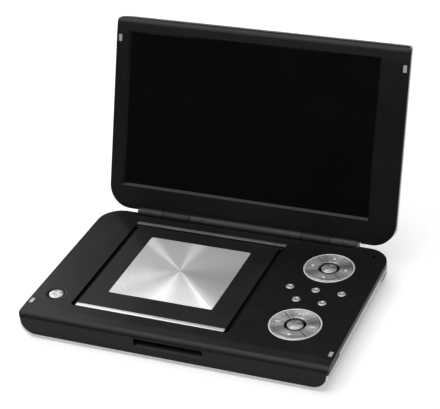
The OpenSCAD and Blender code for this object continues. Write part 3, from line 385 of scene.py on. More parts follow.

# The painted rays of the keys, painted highlights and painted shade in place of their reflections, spread from the
# middle of each pad
KEY_PAINTED_RAYS = ((75, 60, 0.35), (350, 40, 0.5), (195, 60, 0.4), (255, 50, 0.3),
            (25, 40, -0.45), (215, 50, -0.3), (120, 60, -0.3), (165, 60, 0.3))

FINISHES = {
    "black_cover": moulded(
        "satin black cover", (0.003, 0.003, 0.0032), (0.005, 0.005, 0.0054), 0.3, gloss=0.28),
    "black_door": moulded(
        "satin black door", (0.006, 0.006, 0.0065), (0.009, 0.009, 0.0095), 0.34, gloss=0.3),
    "barrel_black": moulded(
        "satin black barrels", (0.002, 0.002, 0.0022), (0.004, 0.004, 0.0043), 0.32, gloss=0.4),
    "silver_shell": painted_silver("silver paint"),
    "brushed_plate": turned(
        "turned plate with painted rays", (0.38, 0.38, 0.385), (1.0, 1.0, 1.0), 0.38, 0.3, 0.05, 0.4, PLATE_PAINTED_RAYS, RAY_CENTRE),
    "bright_trim": brushed("bright trim", (0.72, 0.72, 0.73), (0.95, 0.95, 0.96), 0.4, 0, 0.6),
    "grey_trim": brushed("grey trim", (0.13, 0.13, 0.135), (0.19, 0.19, 0.195), 0.4, 0, 0.4),
    # The keys' colour carries painted rays: painted highlights and painted shade.
    "key_silver": turned(
        "turned keys with painted rays", (0.2, 0.2, 0.205), (0.8, 0.8, 0.81), 0.3, 0.35, 0.14, 0.7, KEY_PAINTED_RAYS),
    "key_ring": turned("bright key rings", (0.82, 0.82, 0.83), (0.95, 0.95, 0.96), 0.35, 0.12, 0.3, 0.4),
    "catch_metal": brushed("catch plates", (0.5, 0.5, 0.49), (0.72, 0.72, 0.7), 0.38, 1, 0.7),
    # The disc well's plastic is darker than the cover's: painted shade that stands in for the depth of the groove
    # round the door.
    "well_plastic": moulded(
        "disc well plastic with painted shade", (0.002, 0.002, 0.0022), (0.003, 0.003, 0.0033), 0.6, 0.4, 0.02, gloss=0.1),
    "screen_glass": dark_glass("screen glass", (0.0018, 0.0018, 0.002), 0.3, 0.06),
    "screen_module": brushed("screen frame steel", (0.4, 0.4, 0.41), (0.55, 0.55, 0.56), 0.42, 0),
    "sensor_dark": dark_glass("infrared window", (0.001, 0.0006, 0.0008), 0.08, 0.08),
    "steel": brushed("bright steel", (0.45, 0.45, 0.46), (0.62, 0.62, 0.63), 0.32, 1),
    "hub_plastic": moulded("hub plastic", (0.045, 0.045, 0.047), (0.06, 0.06, 0.062), 0.38),
    "pickup_plastic": moulded("pickup plastic", (0.012, 0.012, 0.013), (0.02, 0.02, 0.021), 0.45),
    "lens_glass": dark_glass("pickup lens", (0.01, 0.012, 0.03), 0.05, 0.8),
    "board": circuit_board("circuit board", (0.012, 0.09, 0.035), (0.03, 0.17, 0.07), (0.6, 0.58, 0.52)),
    "chip": moulded("chip epoxy", (0.012, 0.012, 0.013), (0.02, 0.02, 0.02), 0.55, 0.2),
    "battery": moulded("battery wrap", (0.02, 0.022, 0.03), (0.03, 0.032, 0.042), 0.4),
    "socket_plastic": moulded("socket plastic", (0.012, 0.012, 0.013), (0.022, 0.022, 0.023), 0.42),
    "switch_plastic": moulded("switch plastic", (0.16, 0.16, 0.165), (0.21, 0.21, 0.215), 0.42),
    "rubber": moulded(
        "rubber", (0.010, 0.010, 0.010), (0.018, 0.018, 0.018), 0.75, 0.5, 0.04, film=0.1, gloss=0.3),
}
KEY_BOARD = circuit_board(
    "black circuit board", (0.003, 0.003, 0.003), (0.006, 0.006, 0.006), (0.03, 0.03, 0.028))
# The door button takes the keys' painted rays: painted highlights and painted shade in its colour.
BUTTON_METAL_WITH_PAINTED_RAYS = turned("turned button with painted rays", (0.4, 0.4, 0.41), (0.92, 0.92, 0.93), 0.3, 0.3, 0.2, 0.6, KEY_PAINTED_RAYS)
MARK_PAINT = moulded("key mark paint", (0.9, 0.9, 0.9), (0.96, 0.96, 0.96), 0.4, film=0.0, dust=0.0)
RIB_PLASTIC = moulded("door rib plastic", (0.014, 0.014, 0.015), (0.02, 0.02, 0.021), 0.5)
WHEEL_GREY = moulded("pale wheel plastic", (0.5, 0.5, 0.51), (0.6, 0.6, 0.61), 0.4)


# ---------------------------------------------------------------- making pieces

# An edge that turns by more degrees than this stays crisp when a piece is shaded smooth
SHARP_TURN = 35
# An edge that rises by less than this lies level
LEVEL = 0.01 * MM


def hinge_place():
    """The lid's own frame: X across, Y up the lid from the hinge axis, Z out of the screen."""
    hinge = JOINTS["lid_hinge"]
    lean = math.radians(180 + hinge["range_deg"][0])
    return Matrix.Translation(Vector(hinge["pos_m"])) @ Matrix.Rotation(lean, 4, "X")


LID = hinge_place()
UPRIGHT = Matrix.Identity(4)


def separate_solids(node, place=UPRIGHT):
    """The boxes of a node's separate solids, in the given frame, from left to right."""
    bm = bmesh.new()
    bm.from_mesh(frame["nodes"][node].data)
    bmesh.ops.remove_doubles(bm, verts=bm.verts, dist=2 * MERGE)
    back = place.inverted()
    waiting = set(bm.verts)
    boxes = []
    while waiting:
        front = [waiting.pop()]
        low = back @ front[0].co
        high = low.copy()
        while front:
            vert = front.pop()
            at = back @ vert.co
            low, high = Vector(map(min, low, at)), Vector(map(max, high, at))
            for edge in vert.link_edges:
                other = edge.other_vert(vert)
                if other in waiting:
                    waiting.remove(other)
                    front.append(other)
        boxes.append((low, high))
    bm.free()
    return sorted(boxes, key=lambda box: tuple(round(c, 5) for c in box[0]))


def finished(name, bm, body, slot, replaces=(), place=None, finish=None, second=None, centre=None):
    """Turns a bmesh into a piece that rides on a body and takes a finish."""
    bmesh.ops.remove_doubles(bm, verts=bm.verts, dist=MERGE)
    if place is not None:
        bmesh.ops.transform(bm, matrix=place, verts=bm.verts)
    bmesh.ops.recalc_face_normals(bm, faces=bm.faces)
    if centre is not None:
        away = bm.verts.layers.float_vector.new("from_axis")
        for vert in bm.verts:
            vert[away] = vert.co - centre
    mesh = bpy.data.meshes.new(name)
    bm.to_mesh(mesh)
    bm.free()
    mesh.shade_smooth()
    mesh.set_sharp_from_angle(angle=math.radians(SHARP_TURN))
    mesh.materials.append(finish or FINISHES[slot])
    if second is not None:
        mesh.materials.append(second)
    piece = bpy.data.objects.new(name, mesh)
    bpy.context.scene.collection.objects.link(piece)
    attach(piece, body)
    if replaces:
        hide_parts(*replaces)


def soften(bm, edges, width, segments=2):
    """Rounds edges."""
    bmesh.ops.bevel(bm, geom=list(edges), offset=width, segments=segments, profile=0.5,
                    affect="EDGES", clamp_overlap=True, material=-1)


def sharp_edges(bm, least):
    """Every edge that turns by more than the given angle in degrees."""
    return [e for e in bm.edges if len(e.link_faces) == 2 and e.calc_face_angle(0) > math.radians(least)]


def climb(edge):
    """How far an edge rises."""
    return abs(edge.verts[0].co.z - edge.verts[1].co.z)


def block(bm, low, high):
    """Adds a plain block between two corners, and gives its corners back."""
    place = Matrix.Translation((low + high) / 2) @ Matrix.Diagonal((*(high - low), 1))
    return bmesh.ops.create_cube(bm, size=1, matrix=place)["verts"]


def rounded_block(bm, low, high, corner, rim):
    """A block with rounded upright edges and softened rims."""
    block(bm, low, high)
    soften(bm, [e for e in bm.edges if climb(e) > LEVEL], corner, 4)
    soften(bm, sharp_edges(bm, 60), rim, 2)


def turn(bm, outline, at=Vector((0, 0, 0)), steps=48, closed=False):
    """Turns an outline of (radius, height) points once round an upright axis."""
    verts = [bm.verts.new(at + Vector((radius, 0, height))) for radius, height in outline]
    pairs = list(zip(verts, verts[1:]))
    if closed:
        pairs.append((verts[-1], verts[0]))
    edges = [bm.edges.new(pair) for pair in pairs]
    bmesh.ops.spin(bm, geom=verts + edges, cent=at, axis=UP, dvec=(0, 0, 0), angle=math.tau,
                   steps=steps, use_merge=True, use_duplicate=False)
    bmesh.ops.remove_doubles(bm, verts=bm.verts, dist=MERGE)


def bow(radius, height, size, start, end, steps=4):
    """Points of an arc round (radius, height), from one angle to another in degrees."""
    angles = [math.radians(start + (end - start) * i / steps) for i in range(steps + 1)]
    return [(radius + size * math.cos(a), height + size * math.sin(a)) for a in angles]


def rounded_top(outer, inner, height, outer_round, inner_round):
    """Points over the top of a ring, from its outer wall to its inner one."""
    over = bow(outer - outer_round, height - outer_round, outer_round, 0, 90)
    return over + bow(inner + inner_round, height - inner_round, inner_round, 90, 180)


def domed_outline(radius, low, high, sphere, rim, dent):
    """Half the outline of a button with a domed top and a rounded rim, and a dent if one is given."""
    def dome(out):
        return high - (sphere - math.sqrt(sphere ** 2 - out ** 2))
    reach = radius - rim
    rings = [reach * i / 6 for i in range(6, 3 if dent else 0, -1)]
    outline = [(0, low), (radius, low)] + bow(reach, dome(reach) - rim, rim, 0, 75, 3)
    outline += [(out, dome(out)) for out in rings]
    if dent:
        outline += [(radius * 0.42, high - dent), (radius * 0.2, high - 1.3 * dent)]
    return outline + [(0, high - 1.4 * dent)]


# ---------------------------------------------------------------- the keys

FAR_PAD = foot(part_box("ok_key"))
NEAR_PAD = foot(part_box("zoom_key"))
CAP_THICK = 2.4 * MM
STEM_RADIUS = 1.2 * MM
STEM_SEAT = 0.5 * MM
# The slit between two quarter keys, the gap round the middle key and the width of a pad's ring
SLIT = 0.8 * MM
MIDDLE_GAP = 2.2 * MM
PAD_RING = 1.3 * MM
# A quarter key faces one way, and the normals of its two cuts lie this far to either side, in degrees
CUT_TURN = 135
# How far a quarter key is dished, and how its outer, inner and slit edges are rounded
DISH = 0.36 * MM
OUTER_ROUND = 0.45 * MM
INNER_ROUND = 0.35 * MM
SLIT_ROUND = 0.15 * MM
# The spheres that the round keys' tops are cut from, their rims and their dents
WIDE_DOME, WIDE_RIM = 26 * MM, 0.5 * MM
SMALL_DOME, SMALL_RIM, SMALL_DENT = 10 * MM, 0.4 * MM, 0.45 * MM
BUTTON_DENT = 0.3 * MM
# A mark's height, and the size and stretch of the thin bars in some marks
MARK_HEIGHT = 0.14 * MM
PAUSE_BAR = 0.48 * MM
SKIP_BAR = 0.42 * MM
BAR_STRETCH = 3.4
TRIANGLE, SQUARE = 3, 4


def add_stem(bm, x, y, low, high):
    """The stem that reaches from a key down to its switch."""
    bmesh.ops.create_cone(bm, cap_ends=True, segments=16, radius1=STEM_RADIUS, radius2=STEM_RADIUS,
                          depth=high - low, matrix=Matrix.Translation((x, y, (low + high) / 2)))


def flat_mark(bm, at, size, sides, heading=0, stretch=1.0):
    """A small raised mark. A triangle points along its heading in degrees. A square is stretched across."""
    aligned = math.pi / 4 if sides == SQUARE else -math.pi / 2
    place = Matrix.Translation(at) @ Matrix.Rotation(math.radians(heading), 4, "Z")
    place = place @ Matrix.Diagonal((1, stretch, 1, 1)) @ Matrix.Rotation(aligned, 4, "Z")
    made = bmesh.ops.create_cone(bm, cap_ends=True, segments=sides, radius1=size, radius2=size,
                                 depth=2 * MARK_HEIGHT, matrix=place)
    for face in {face for vert in made["verts"] for face in vert.link_faces}:
        face.material_index = 1


def arrow_mark(bm, at, away):
    """An arrow head that points away from the middle of the pad."""
    flat_mark(bm, at, 1.6 * MM, TRIANGLE, away)


def stop_mark(bm, at, away):
    """The square that stands for stop, whichever way the key lies."""
    flat_mark(bm, at, 1.6 * MM, SQUARE)


def play_mark(bm, at, away):
    """The triangle and two bars that stand for play and pause, whichever way the key lies."""
    flat_mark(bm, at - Vector((1.2 * MM, 0, 0)), 1.5 * MM, TRIANGLE)
    for step in (1.1, 2.2):
        flat_mark(bm, at + Vector((step * MM, 0, 0)), PAUSE_BAR, SQUARE, stretch=BAR_STRETCH)


def skip_mark(bm, at, away):
    """Two triangles against a bar, which stand for the next or the previous track."""
    ahead = Vector((math.cos(math.radians(away)), 0, 0))
    for step in (-1.3, 0.6):
        flat_mark(bm, at + step * MM * ahead, 1.25 * MM, TRIANGLE, away)
    flat_mark(bm, at + 1.9 * MM * ahead, SKIP_BAR, SQUARE, stretch=BAR_STRETCH)


def make_quarter_key(name, pad, away, mark, outer, inner):
    """One of the four keys round a pad: a dished ring cut at the two slits, with its mark."""
    low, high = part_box(name)
    cap = high.z - CAP_THICK
    reach = (outer + inner) / 2
    dish = [(outer - 1.5 * MM, high.z - 0.6 * DISH), (reach, high.z - DISH),
            (inner + 1.3 * MM, high.z - 0.8 * DISH)]
    outline = [(inner, cap), (outer, cap)]
    outline += bow(outer - OUTER_ROUND, high.z - OUTER_ROUND, OUTER_ROUND, 0, 90) + dish
    outline += bow(inner + INNER_ROUND, high.z - DISH - 0.4 * MM, INNER_ROUND, 90, 180)
    bm = bmesh.new()
    turn(bm, outline, pad, 96, closed=True)
    for side in (-1, 1):
        across = math.radians(away + side * CUT_TURN)
        normal = Vector((math.cos(across), math.sin(across), 0))
        cut = bmesh.ops.bisect_plane(bm, geom=bm.verts[:] + bm.edges[:] + bm.faces[:],
                                     plane_co=pad - normal * SLIT / 2, plane_no=normal, clear_outer=True)
        open_edges = [part for part in cut["geom_cut"] if isinstance(part, bmesh.types.BMEdge)]
        bmesh.ops.holes_fill(bm, edges=open_edges, sides=0)
    above = [e for e in sharp_edges(bm, 70) if min(v.co.z for v in e.verts) > cap + 0.1 * MM]
    soften(bm, above, SLIT_ROUND)
    spot = pad + reach * Vector((math.cos(math.radians(away)), math.sin(math.radians(away)), 0))
    add_stem(bm, spot.x, spot.y, low.z, cap + STEM_SEAT)
    mark(bm, Vector((spot.x, spot.y, high.z - DISH)), away)
    finished(name + "_top", bm, name + "_cap", SLOTS[name], [name], second=MARK_PAINT, centre=pad)


def make_round_key(name, body, sphere, rim, dent=0.0, finish=None):
    """A key or button with a domed top, which may have a shallow dent in its middle."""
    low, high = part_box(name)
    at = foot((low, high))
    cap = high.z - CAP_THICK
    bm = bmesh.new()
    turn(bm, domed_outline(half_width((low, high)), cap, high.z, sphere, rim, dent), at, 64)
    add_stem(bm, at.x, at.y, low.z, cap + STEM_SEAT)
    finished(name + "_top", bm, body, SLOTS[name], [name], finish=finish, centre=at)


def make_pad_ring(name, solid):
    """The bright ring round a key pad."""
    low, high = solid
    at = foot(solid)
    outer = half_width(solid)
    inner = outer - PAD_RING
    outline = [(inner, low.z), (outer, low.z)] + rounded_top(outer, inner, high.z, 0.4 * MM, 0.3 * MM)
    bm = bmesh.new()
    turn(bm, outline, at, 128, closed=True)
    finished(name, bm, "base", "key_ring", ["pad_rings"], centre=at)


def make_keys():
    """All the keys, their marks, the pad rings and the button of the disc door."""
    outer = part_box("right_key")[1].x - FAR_PAD.x
    inner = half_width(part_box("ok_key")) + MIDDLE_GAP
    quarters = {"right_key": (FAR_PAD, 0, arrow_mark), "up_key": (FAR_PAD, 90, arrow_mark),
                "left_key": (FAR_PAD, 180, arrow_mark), "down_key": (FAR_PAD, 270, arrow_mark),
                "next_key": (NEAR_PAD, 0, skip_mark), "play_key": (NEAR_PAD, 90, play_mark),
                "previous_key": (NEAR_PAD, 180, skip_mark), "stop_key": (NEAR_PAD, 270, stop_mark)}
    for name, (pad, away, mark) in quarters.items():
        make_quarter_key(name, pad, away, mark, outer, inner)
    for name in ("ok_key", "zoom_key"):
        make_round_key(name, name + "_cap", WIDE_DOME, WIDE_RIM)
    for name in ("subtitle_key", "audio_key", "menu_key", "display_key", "setup_key"):
        make_round_key(name, name + "_cap", SMALL_DOME, SMALL_RIM, SMALL_DENT)
    make_round_key("open_button", "door_button", WIDE_DOME, WIDE_RIM, BUTTON_DENT, BUTTON_METAL_WITH_PAINTED_RAYS)
    for name, solid in zip(("near_pad_ring", "far_pad_ring"), separate_solids("pad_rings")):
        make_pad_ring(name, solid)


make_keys()


# ---------------------------------------------------------------- trims and plates

# The rim of a catch plate, and the slope and depth of the slot sunk in it
CATCH_RIM = 0.75 * MM
CATCH_SLOPE = 0.12 * MM
CATCH_SUNK = 0.3 * MM


def make_door_plate():
    """The turned plate on the disc door, with a softened rim."""
    low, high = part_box("door_plate")
    bm = bmesh.new()
    rounded_block(bm, low, high, 1.2 * MM, 0.45 * MM)
    for face in bm.faces:
        face.material_index = int(face.normal.z < 0.99)
    # The plate's finish carries painted rays: painted highlights and painted shade in its colour.
    finished("turned_door_plate_with_painted_rays", bm, "door", "brushed_plate", ["door_plate"],
             second=FINISHES["key_ring"])


def make_trims():
    """The bright trim along the door's front and the grey one behind the door, each with the rounding of
    its corners and its rim in millimetres."""
    for node, name, body, corner, rim in (("door_front_trim", "bright_door_trim", "door", 0.4, 0.14),
                                          ("rear_trim", "grey_rear_trim", "base", 0.6, 0.3)):
        low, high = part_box(node)
        bm = bmesh.new()
        rounded_block(bm, low, high, corner * MM, rim * MM)
        finished(name, bm, body, SLOTS[node], [node])


def make_catch_plates():
    """The small metal plates where lid and base meet: a rounded plate with a sunk slot."""
    for node, body, place in (("base_catch_pads", "base", UPRIGHT), ("lid_catch_pads", "lid", LID)):
        bm = bmesh.new()
        for low, high in separate_solids(node, place):
            verts = block(bm, low, high)
            top = [f for f in {f for v in verts for f in v.link_faces} if f.normal.z > 0.9]
            bmesh.ops.inset_individual(bm, faces=top, thickness=CATCH_RIM, depth=0)
            bmesh.ops.inset_individual(bm, faces=top, thickness=CATCH_SLOPE, depth=-CATCH_SUNK)
        soften(bm, [e for e in bm.edges if climb(e) > 0.5 * MM], 0.5 * MM, 3)
        finished(node.replace("pads", "plates"), bm, body, SLOTS[node], [node], place=place)


make_door_plate()
make_trims()
make_catch_plates()


# ---------------------------------------------------------------- screws, wheel, switch, sockets and feet

HEAD_THICK = 0.8 * MM
# How much further each screw was turned than the one before, in radians
SCREW_TURN = 0.7
WHEEL_RIBS = 40
SWITCH_FLANGE = 1.0 * MM
SWITCH_RIB = 0.3 * MM
SWITCH_RIBS = 6
# The bore and the outer radius of a socket's collar
COLLAR_BORE = 1.82 * MM
COLLAR_RADIUS = 2.6 * MM
FOOT_HOLLOW = 0.25 * MM
FOOT_ROUND = 0.5 * MM
# How far above the front the barrels' plugs face, in degrees, and how far in from its ends the middle
# barrel's plugs sit
PLUG_RISE = 34
PLUG_INSET = 12 * MM
PLUG_BORE = 1.15 * MM
PLUG_RADIUS = 1.57 * MM
PLUG_ROUND = 0.12 * MM


def put_in(bm, small, place):
    """Adds a small shape to a larger one at a place."""
    bmesh.ops.transform(small, matrix=place, verts=small.verts)
    passing = bpy.data.meshes.new("passing")
    small.to_mesh(passing)
    small.free()
    bm.from_mesh(passing)
    bpy.data.meshes.remove(passing)


def cross_screw(radius, thick, shank, length):
    """A flat screw with a cross recess. Its face looks down at height 0 and its shank points up."""
    bm = bmesh.new()
    rim = bmesh.ops.create_circle(bm, cap_ends=False, segments=24, radius=radius)["verts"]
    rim_edges = list({e for v in rim for e in v.link_edges})
    arm, half = 0.62 * radius, 0.16 * radius
    corner = [(half, arm), (-half, arm), (-half, half), (-arm, half), (-arm, -half), (-half, -half),
              (-half, -arm), (half, -arm), (half, -half), (arm, -half), (arm, half), (half, half)]
    cross = bm.faces.new([bm.verts.new((x, y, 0)) for x, y in corner])
    bmesh.ops.bridge_loops(bm, edges=rim_edges + list(cross.edges))
    sunk = bmesh.ops.extrude_discrete_faces(bm, faces=[cross])["faces"][0]
    bmesh.ops.scale(bm, vec=(0.72, 0.72, 1), verts=sunk.verts)
    bmesh.ops.translate(bm, vec=(0, 0, 0.7 * thick), verts=sunk.verts)
    wall = bmesh.ops.extrude_edge_only(bm, edges=rim_edges)["geom"]
    back = [part for part in wall if isinstance(part, bmesh.types.BMVert)]
    bmesh.ops.translate(bm, vec=(0, 0, thick), verts=back)
    bmesh.ops.holes_fill(bm, edges=[e for e in bm.edges if e.is_boundary], sides=0)
    bmesh.ops.create_cone(bm, cap_ends=True, segments=16, radius1=shank, radius2=0.8 * shank, depth=length,
                          matrix=Matrix.Translation((0, 0, thick / 2 + length / 2)))
    return bm


def make_screws():
    """The six screws under the base and the four in the lid's back."""
    for node, body, place in (("base_screws", "base", UPRIGHT), ("lid_screws", "lid", LID)):
        bm = bmesh.new()
        for order, (low, high) in enumerate(separate_solids(node, place)):
            at = middle((low, high))
            radius = half_width((low, high))
            spin = Matrix.Rotation(SCREW_TURN * order, 4, "Z")
            screw = cross_screw(radius, HEAD_THICK, 0.46 * radius, high.z - low.z - HEAD_THICK)
            put_in(bm, screw, Matrix.Translation((at.x, at.y, low.z)) @ spin)
        finished(node.replace("screws", "cross_screws"), bm, body, SLOTS[node], [node], place=place)


def make_volume_wheel():
    """A thumb wheel with a ribbed rim."""
    low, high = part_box("volume_wheel")
    at = middle((low, high))
    bm = bmesh.new()
    rim = bmesh.ops.create_circle(bm, cap_ends=True, segments=4 * WHEEL_RIBS, radius=half_width((low, high)),
                                  matrix=Matrix.Translation((at.x, at.y, low.z)))["verts"]
    valleys = [vert for i, vert in enumerate(rim) if i % 4 < 2]
    bmesh.ops.scale(bm, vec=(0.965, 0.965, 1), space=Matrix.Translation(-at), verts=valleys)
    lifted = bmesh.ops.extrude_face_region(bm, geom=bm.faces[:], use_keep_orig=True)["geom"]
    top = [part for part in lifted if isinstance(part, bmesh.types.BMVert)]
    bmesh.ops.translate(bm, vec=(0, 0, high.z - low.z), verts=top)
    soften(bm, [e for e in bm.edges if climb(e) < LEVEL], 0.2 * MM)
    finished("ribbed_volume_wheel", bm, "wheel", SLOTS["volume_wheel"], ["volume_wheel"], finish=WHEEL_GREY)


def make_power_switch():
    """A sliding knob with grip ribs and the flange that holds it inside the wall."""
    low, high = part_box("power_switch")
    bm = bmesh.new()
    block(bm, Vector((high.x - SWITCH_FLANGE, low.y, low.z)), high)
    knob_low = Vector((low.x + SWITCH_RIB, low.y + SWITCH_FLANGE, low.z + SWITCH_FLANGE))
    knob_high = Vector((high.x - SWITCH_FLANGE / 2, high.y - SWITCH_FLANGE, high.z - SWITCH_FLANGE))
    block(bm, knob_low, knob_high)
    for i in range(SWITCH_RIBS):
        y = knob_low.y + (i + 0.5) / SWITCH_RIBS * (knob_high.y - knob_low.y)
        block(bm, Vector((low.x, y - SWITCH_RIB, knob_low.z)),
              Vector((low.x + 2 * SWITCH_RIB, y + SWITCH_RIB, knob_high.z)))
    soften(bm, bm.edges[:], 0.12 * MM, 1)
    finished("ribbed_power_switch", bm, "switch", SLOTS["power_switch"], ["power_switch"])


def make_socket_collars():
    """The metal rings in the mouths of the three small sockets."""
    lip = 0.15 * MM
    sunk = -0.6 * MM
    outline = [(COLLAR_BORE, sunk), (COLLAR_RADIUS, sunk)]
    outline += rounded_top(COLLAR_RADIUS, COLLAR_BORE, lip, lip, lip)
    bm = bmesh.new()
    for low, high in separate_solids("audio_jacks"):
        at = middle((low, high))
        collar = bmesh.new()
        turn(collar, outline, steps=40, closed=True)
        put_in(bm, collar, Matrix.Translation((low.x, at.y, at.z)) @ Matrix.Rotation(-math.pi / 2, 4, "Y"))
    finished("socket_collars", bm, "base", "steel")


def make_feet():
    """Four rubber feet with a rounded rim and a shallow hollow."""
    bm = bmesh.new()
    for low, high in separate_solids("rubber_feet"):
        radius = half_width((low, high))
        roof = low.z + FOOT_HOLLOW
        outline = [(0, roof), (0.6 * radius, roof), (0.68 * radius, low.z)]
        outline += bow(radius - FOOT_ROUND, low.z + FOOT_ROUND, FOOT_ROUND, -90, 0)
        turn(bm, outline + [(radius, high.z), (0, high.z)], foot((low, high)), 40)
    finished("soft_feet", bm, "base", SLOTS["rubber_feet"], ["rubber_feet"])


def make_barrel_plugs():
    """The screw plugs in the hinge barrels, low on the side that faces the user."""
    left, centre, right = separate_solids("hinge_barrels")
    hinge = Vector(JOINTS["lid_hinge"]["pos_m"])
    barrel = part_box("hinge_knuckles")[1].z - hinge.z
    outward = Matrix.Rotation(math.pi / 2 - math.radians(PLUG_RISE), 4, "X")
    sunk, root = -0.6 * MM, -1.0 * MM
    outline = [(0, sunk), (PLUG_BORE, sunk), (PLUG_BORE + 0.05 * MM, 0.0)]
    outline += bow(PLUG_RADIUS - PLUG_ROUND, 0, PLUG_ROUND, 90, 0) + [(PLUG_RADIUS, root), (0, root)]
    bm = bmesh.new()
    for x in (middle(left).x, centre[0].x + PLUG_INSET, centre[1].x - PLUG_INSET, middle(right).x):
        plug = bmesh.new()
        turn(plug, outline, steps=32)
        place = Matrix.Translation((x, hinge.y, hinge.z)) @ outward
        put_in(bm, plug, place @ Matrix.Translation((0, 0, barrel - 0.06 * MM)))
    # The plugs take the disc well's darkened finish: painted shade that makes them read as dark recesses.
    finished("barrel_plugs", bm, "lid", "barrel_black", finish=FINISHES["well_plastic"])


make_screws()
make_volume_wheel()
make_power_switch()
make_socket_collars()
make_feet()
make_barrel_plugs()


# ---------------------------------------------------------------- under the disc door

# The turntable lies this far under the hub's top, and a boss as wide as a disc's hole stands on it
TABLE_SUNK = 4.2 * MM
TABLE_THICK = 1.2 * MM
BOSS_RADIUS = 7.4 * MM
SHAFT_RADIUS = 1.5 * MM
# The rubber ring that a disc lies on
GRIP_INNER = 10.2 * MM
GRIP_OUTER = 13.2 * MM
GRIP_RISE = 0.25 * MM
BALLS = 3
BALL_RADIUS = 1.0 * MM
# The ring round the pickup's lens, and how far the lens lies under it
LENS_RIM = 0.9 * MM
LENS_SUNK = 0.8 * MM
# The ribs under the disc door: two rings and the spokes between them
DOOR_THICK = 2.0 * MM
RIB_DEPTH = 1.4 * MM
RIB_HALF = 0.6 * MM
RIB_SEAT = 0.2 * MM
RIB_RINGS = (22 * MM, 54 * MM)
SPOKES = 8
# The ridges on the battery cover
RIDGES = 5
RIDGE_STEP = 2.2 * MM
RIDGE_WIDTH = 0.7 * MM
RIDGE_REACH = 9 * MM
RIDGE_START = 8 * MM


def make_hub():
    """The turntable with its grip ring, the boss that centres a disc, and its three sprung balls."""
    low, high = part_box("spindle_hub")
    at = foot((low, high))
    radius = half_width((low, high))
    table = high.z - TABLE_SUNK
    top = table + TABLE_THICK
    edge = 0.3 * MM
    well = high.z - 0.5 * MM
    outline = [(0, low.z), (SHAFT_RADIUS, low.z), (SHAFT_RADIUS, table), (radius, table)]
    outline += bow(radius - edge, top - edge, edge, 0, 90, 3)
    outline += [(BOSS_RADIUS + 0.4 * MM, top), (BOSS_RADIUS, top + 0.2 * MM),
                (BOSS_RADIUS, high.z - 1.3 * MM), (BOSS_RADIUS - 1.0 * MM, high.z - 0.25 * MM),
                (BOSS_RADIUS - 1.4 * MM, high.z)]
    outline += [(2.4 * MM, high.z), (2.2 * MM, well), (0, well)]
    bm = bmesh.new()
    turn(bm, outline, at, 72)
    finished("turntable", bm, "hub", SLOTS["spindle_hub"], ["spindle_hub"], finish=FINISHES["hub_plastic"])
    bm = bmesh.new()
    sunk = top - 0.1 * MM
    outline = [(GRIP_INNER, sunk), (GRIP_OUTER, sunk)]
    outline += rounded_top(GRIP_OUTER, GRIP_INNER, top + GRIP_RISE, 0.2 * MM, 0.2 * MM)
    turn(bm, outline, at, 72, closed=True)
    finished("turntable_grip", bm, "hub", "rubber")
    bm = bmesh.new()
    out = BOSS_RADIUS - BALL_RADIUS / 2
    for i in range(BALLS):
        around = math.tau * i / BALLS
        ball = at + Vector((math.cos(around) * out, math.sin(around) * out, high.z - 1.7 * MM))
        bmesh.ops.create_uvsphere(bm, u_segments=20, v_segments=12, radius=BALL_RADIUS,
                                  matrix=Matrix.Translation(ball))
    finished("hub_balls", bm, "hub", "steel")


def make_lens():
    """The pickup's lens in its ring."""
    low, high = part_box("pickup_lens")
    at = foot((low, high))
    radius = half_width((low, high))
    glass = radius - LENS_RIM
    seat = high.z - LENS_SUNK
    bm = bmesh.new()
    outline = [(0, low.z), (radius, low.z)] + bow(radius - 0.2 * MM, high.z - 0.5 * MM, 0.2 * MM, 0, 90, 3)
    turn(bm, outline + [(glass, high.z - 0.3 * MM), (glass, seat), (0, seat)], at, 48)
    finished("lens_ring", bm, "pickup", "pickup_plastic", ["pickup_lens"])
    bm = bmesh.new()
    angles = [math.pi / 2 * i / 6 for i in range(6, -1, -1)]
    dome = [(glass * math.sin(a), seat + 0.75 * MM * math.cos(a)) for a in angles]
    under = seat - 0.05 * MM
    turn(bm, [(0, under), (glass, under)] + dome, at, 40)
    finished("lens_dome", bm, "pickup", "lens_glass")


def make_door_ribs():
    """The stiffening ribs on the underside of the disc door."""
    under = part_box("disc_door")[1].z - DOOR_THICK
    at = foot(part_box("spindle_hub"))
    seat, deep = under + RIB_SEAT, under - RIB_DEPTH
    bm = bmesh.new()
    for radius in RIB_RINGS:
        turn(bm, [(radius - RIB_HALF, seat), (radius + RIB_HALF, seat), (radius + RIB_HALF, deep),
                  (radius - RIB_HALF, deep)], at, 96, closed=True)
    for i in range(SPOKES):
        rib = bmesh.new()
        block(rib, Vector((RIB_RINGS[0], -RIB_HALF, deep)), Vector((RIB_RINGS[1], RIB_HALF, seat)))
        around = math.tau * (i + 0.5) / SPOKES
        put_in(bm, rib, Matrix.Translation(at) @ Matrix.Rotation(around, 4, "Z"))
    finished("door_ribs", bm, "door", "black_door", finish=RIB_PLASTIC)


def make_hatch_grip():
    """The ridges that a thumb pushes to slide the battery cover off."""
    low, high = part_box("battery_cover")
    at = middle((low, high))
    bm = bmesh.new()
    for i in range(RIDGES):
        y = low.y + RIDGE_START + i * RIDGE_STEP
        block(bm, Vector((at.x - RIDGE_REACH, y - RIDGE_WIDTH / 2, low.z - 0.35 * MM)),
              Vector((at.x + RIDGE_REACH, y + RIDGE_WIDTH / 2, low.z + 0.3 * MM)))
    soften(bm, bm.edges[:], 0.15 * MM, 1)
    finished("hatch_grip", bm, "base", "silver_shell")


make_hub()
make_lens()
make_door_ribs()
make_hatch_grip()


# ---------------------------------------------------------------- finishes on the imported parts

def dress_packed_parts():
    """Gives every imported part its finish. The key board is black, as it shows through the keys' slits."""
    for name, obj in frame["nodes"].items():
        obj.material_slots[0].material = KEY_BOARD if name == "key_board" else FINISHES[SLOTS[name]]


dress_packed_parts()


# ---------------------------------------------------------------- stage, light and camera

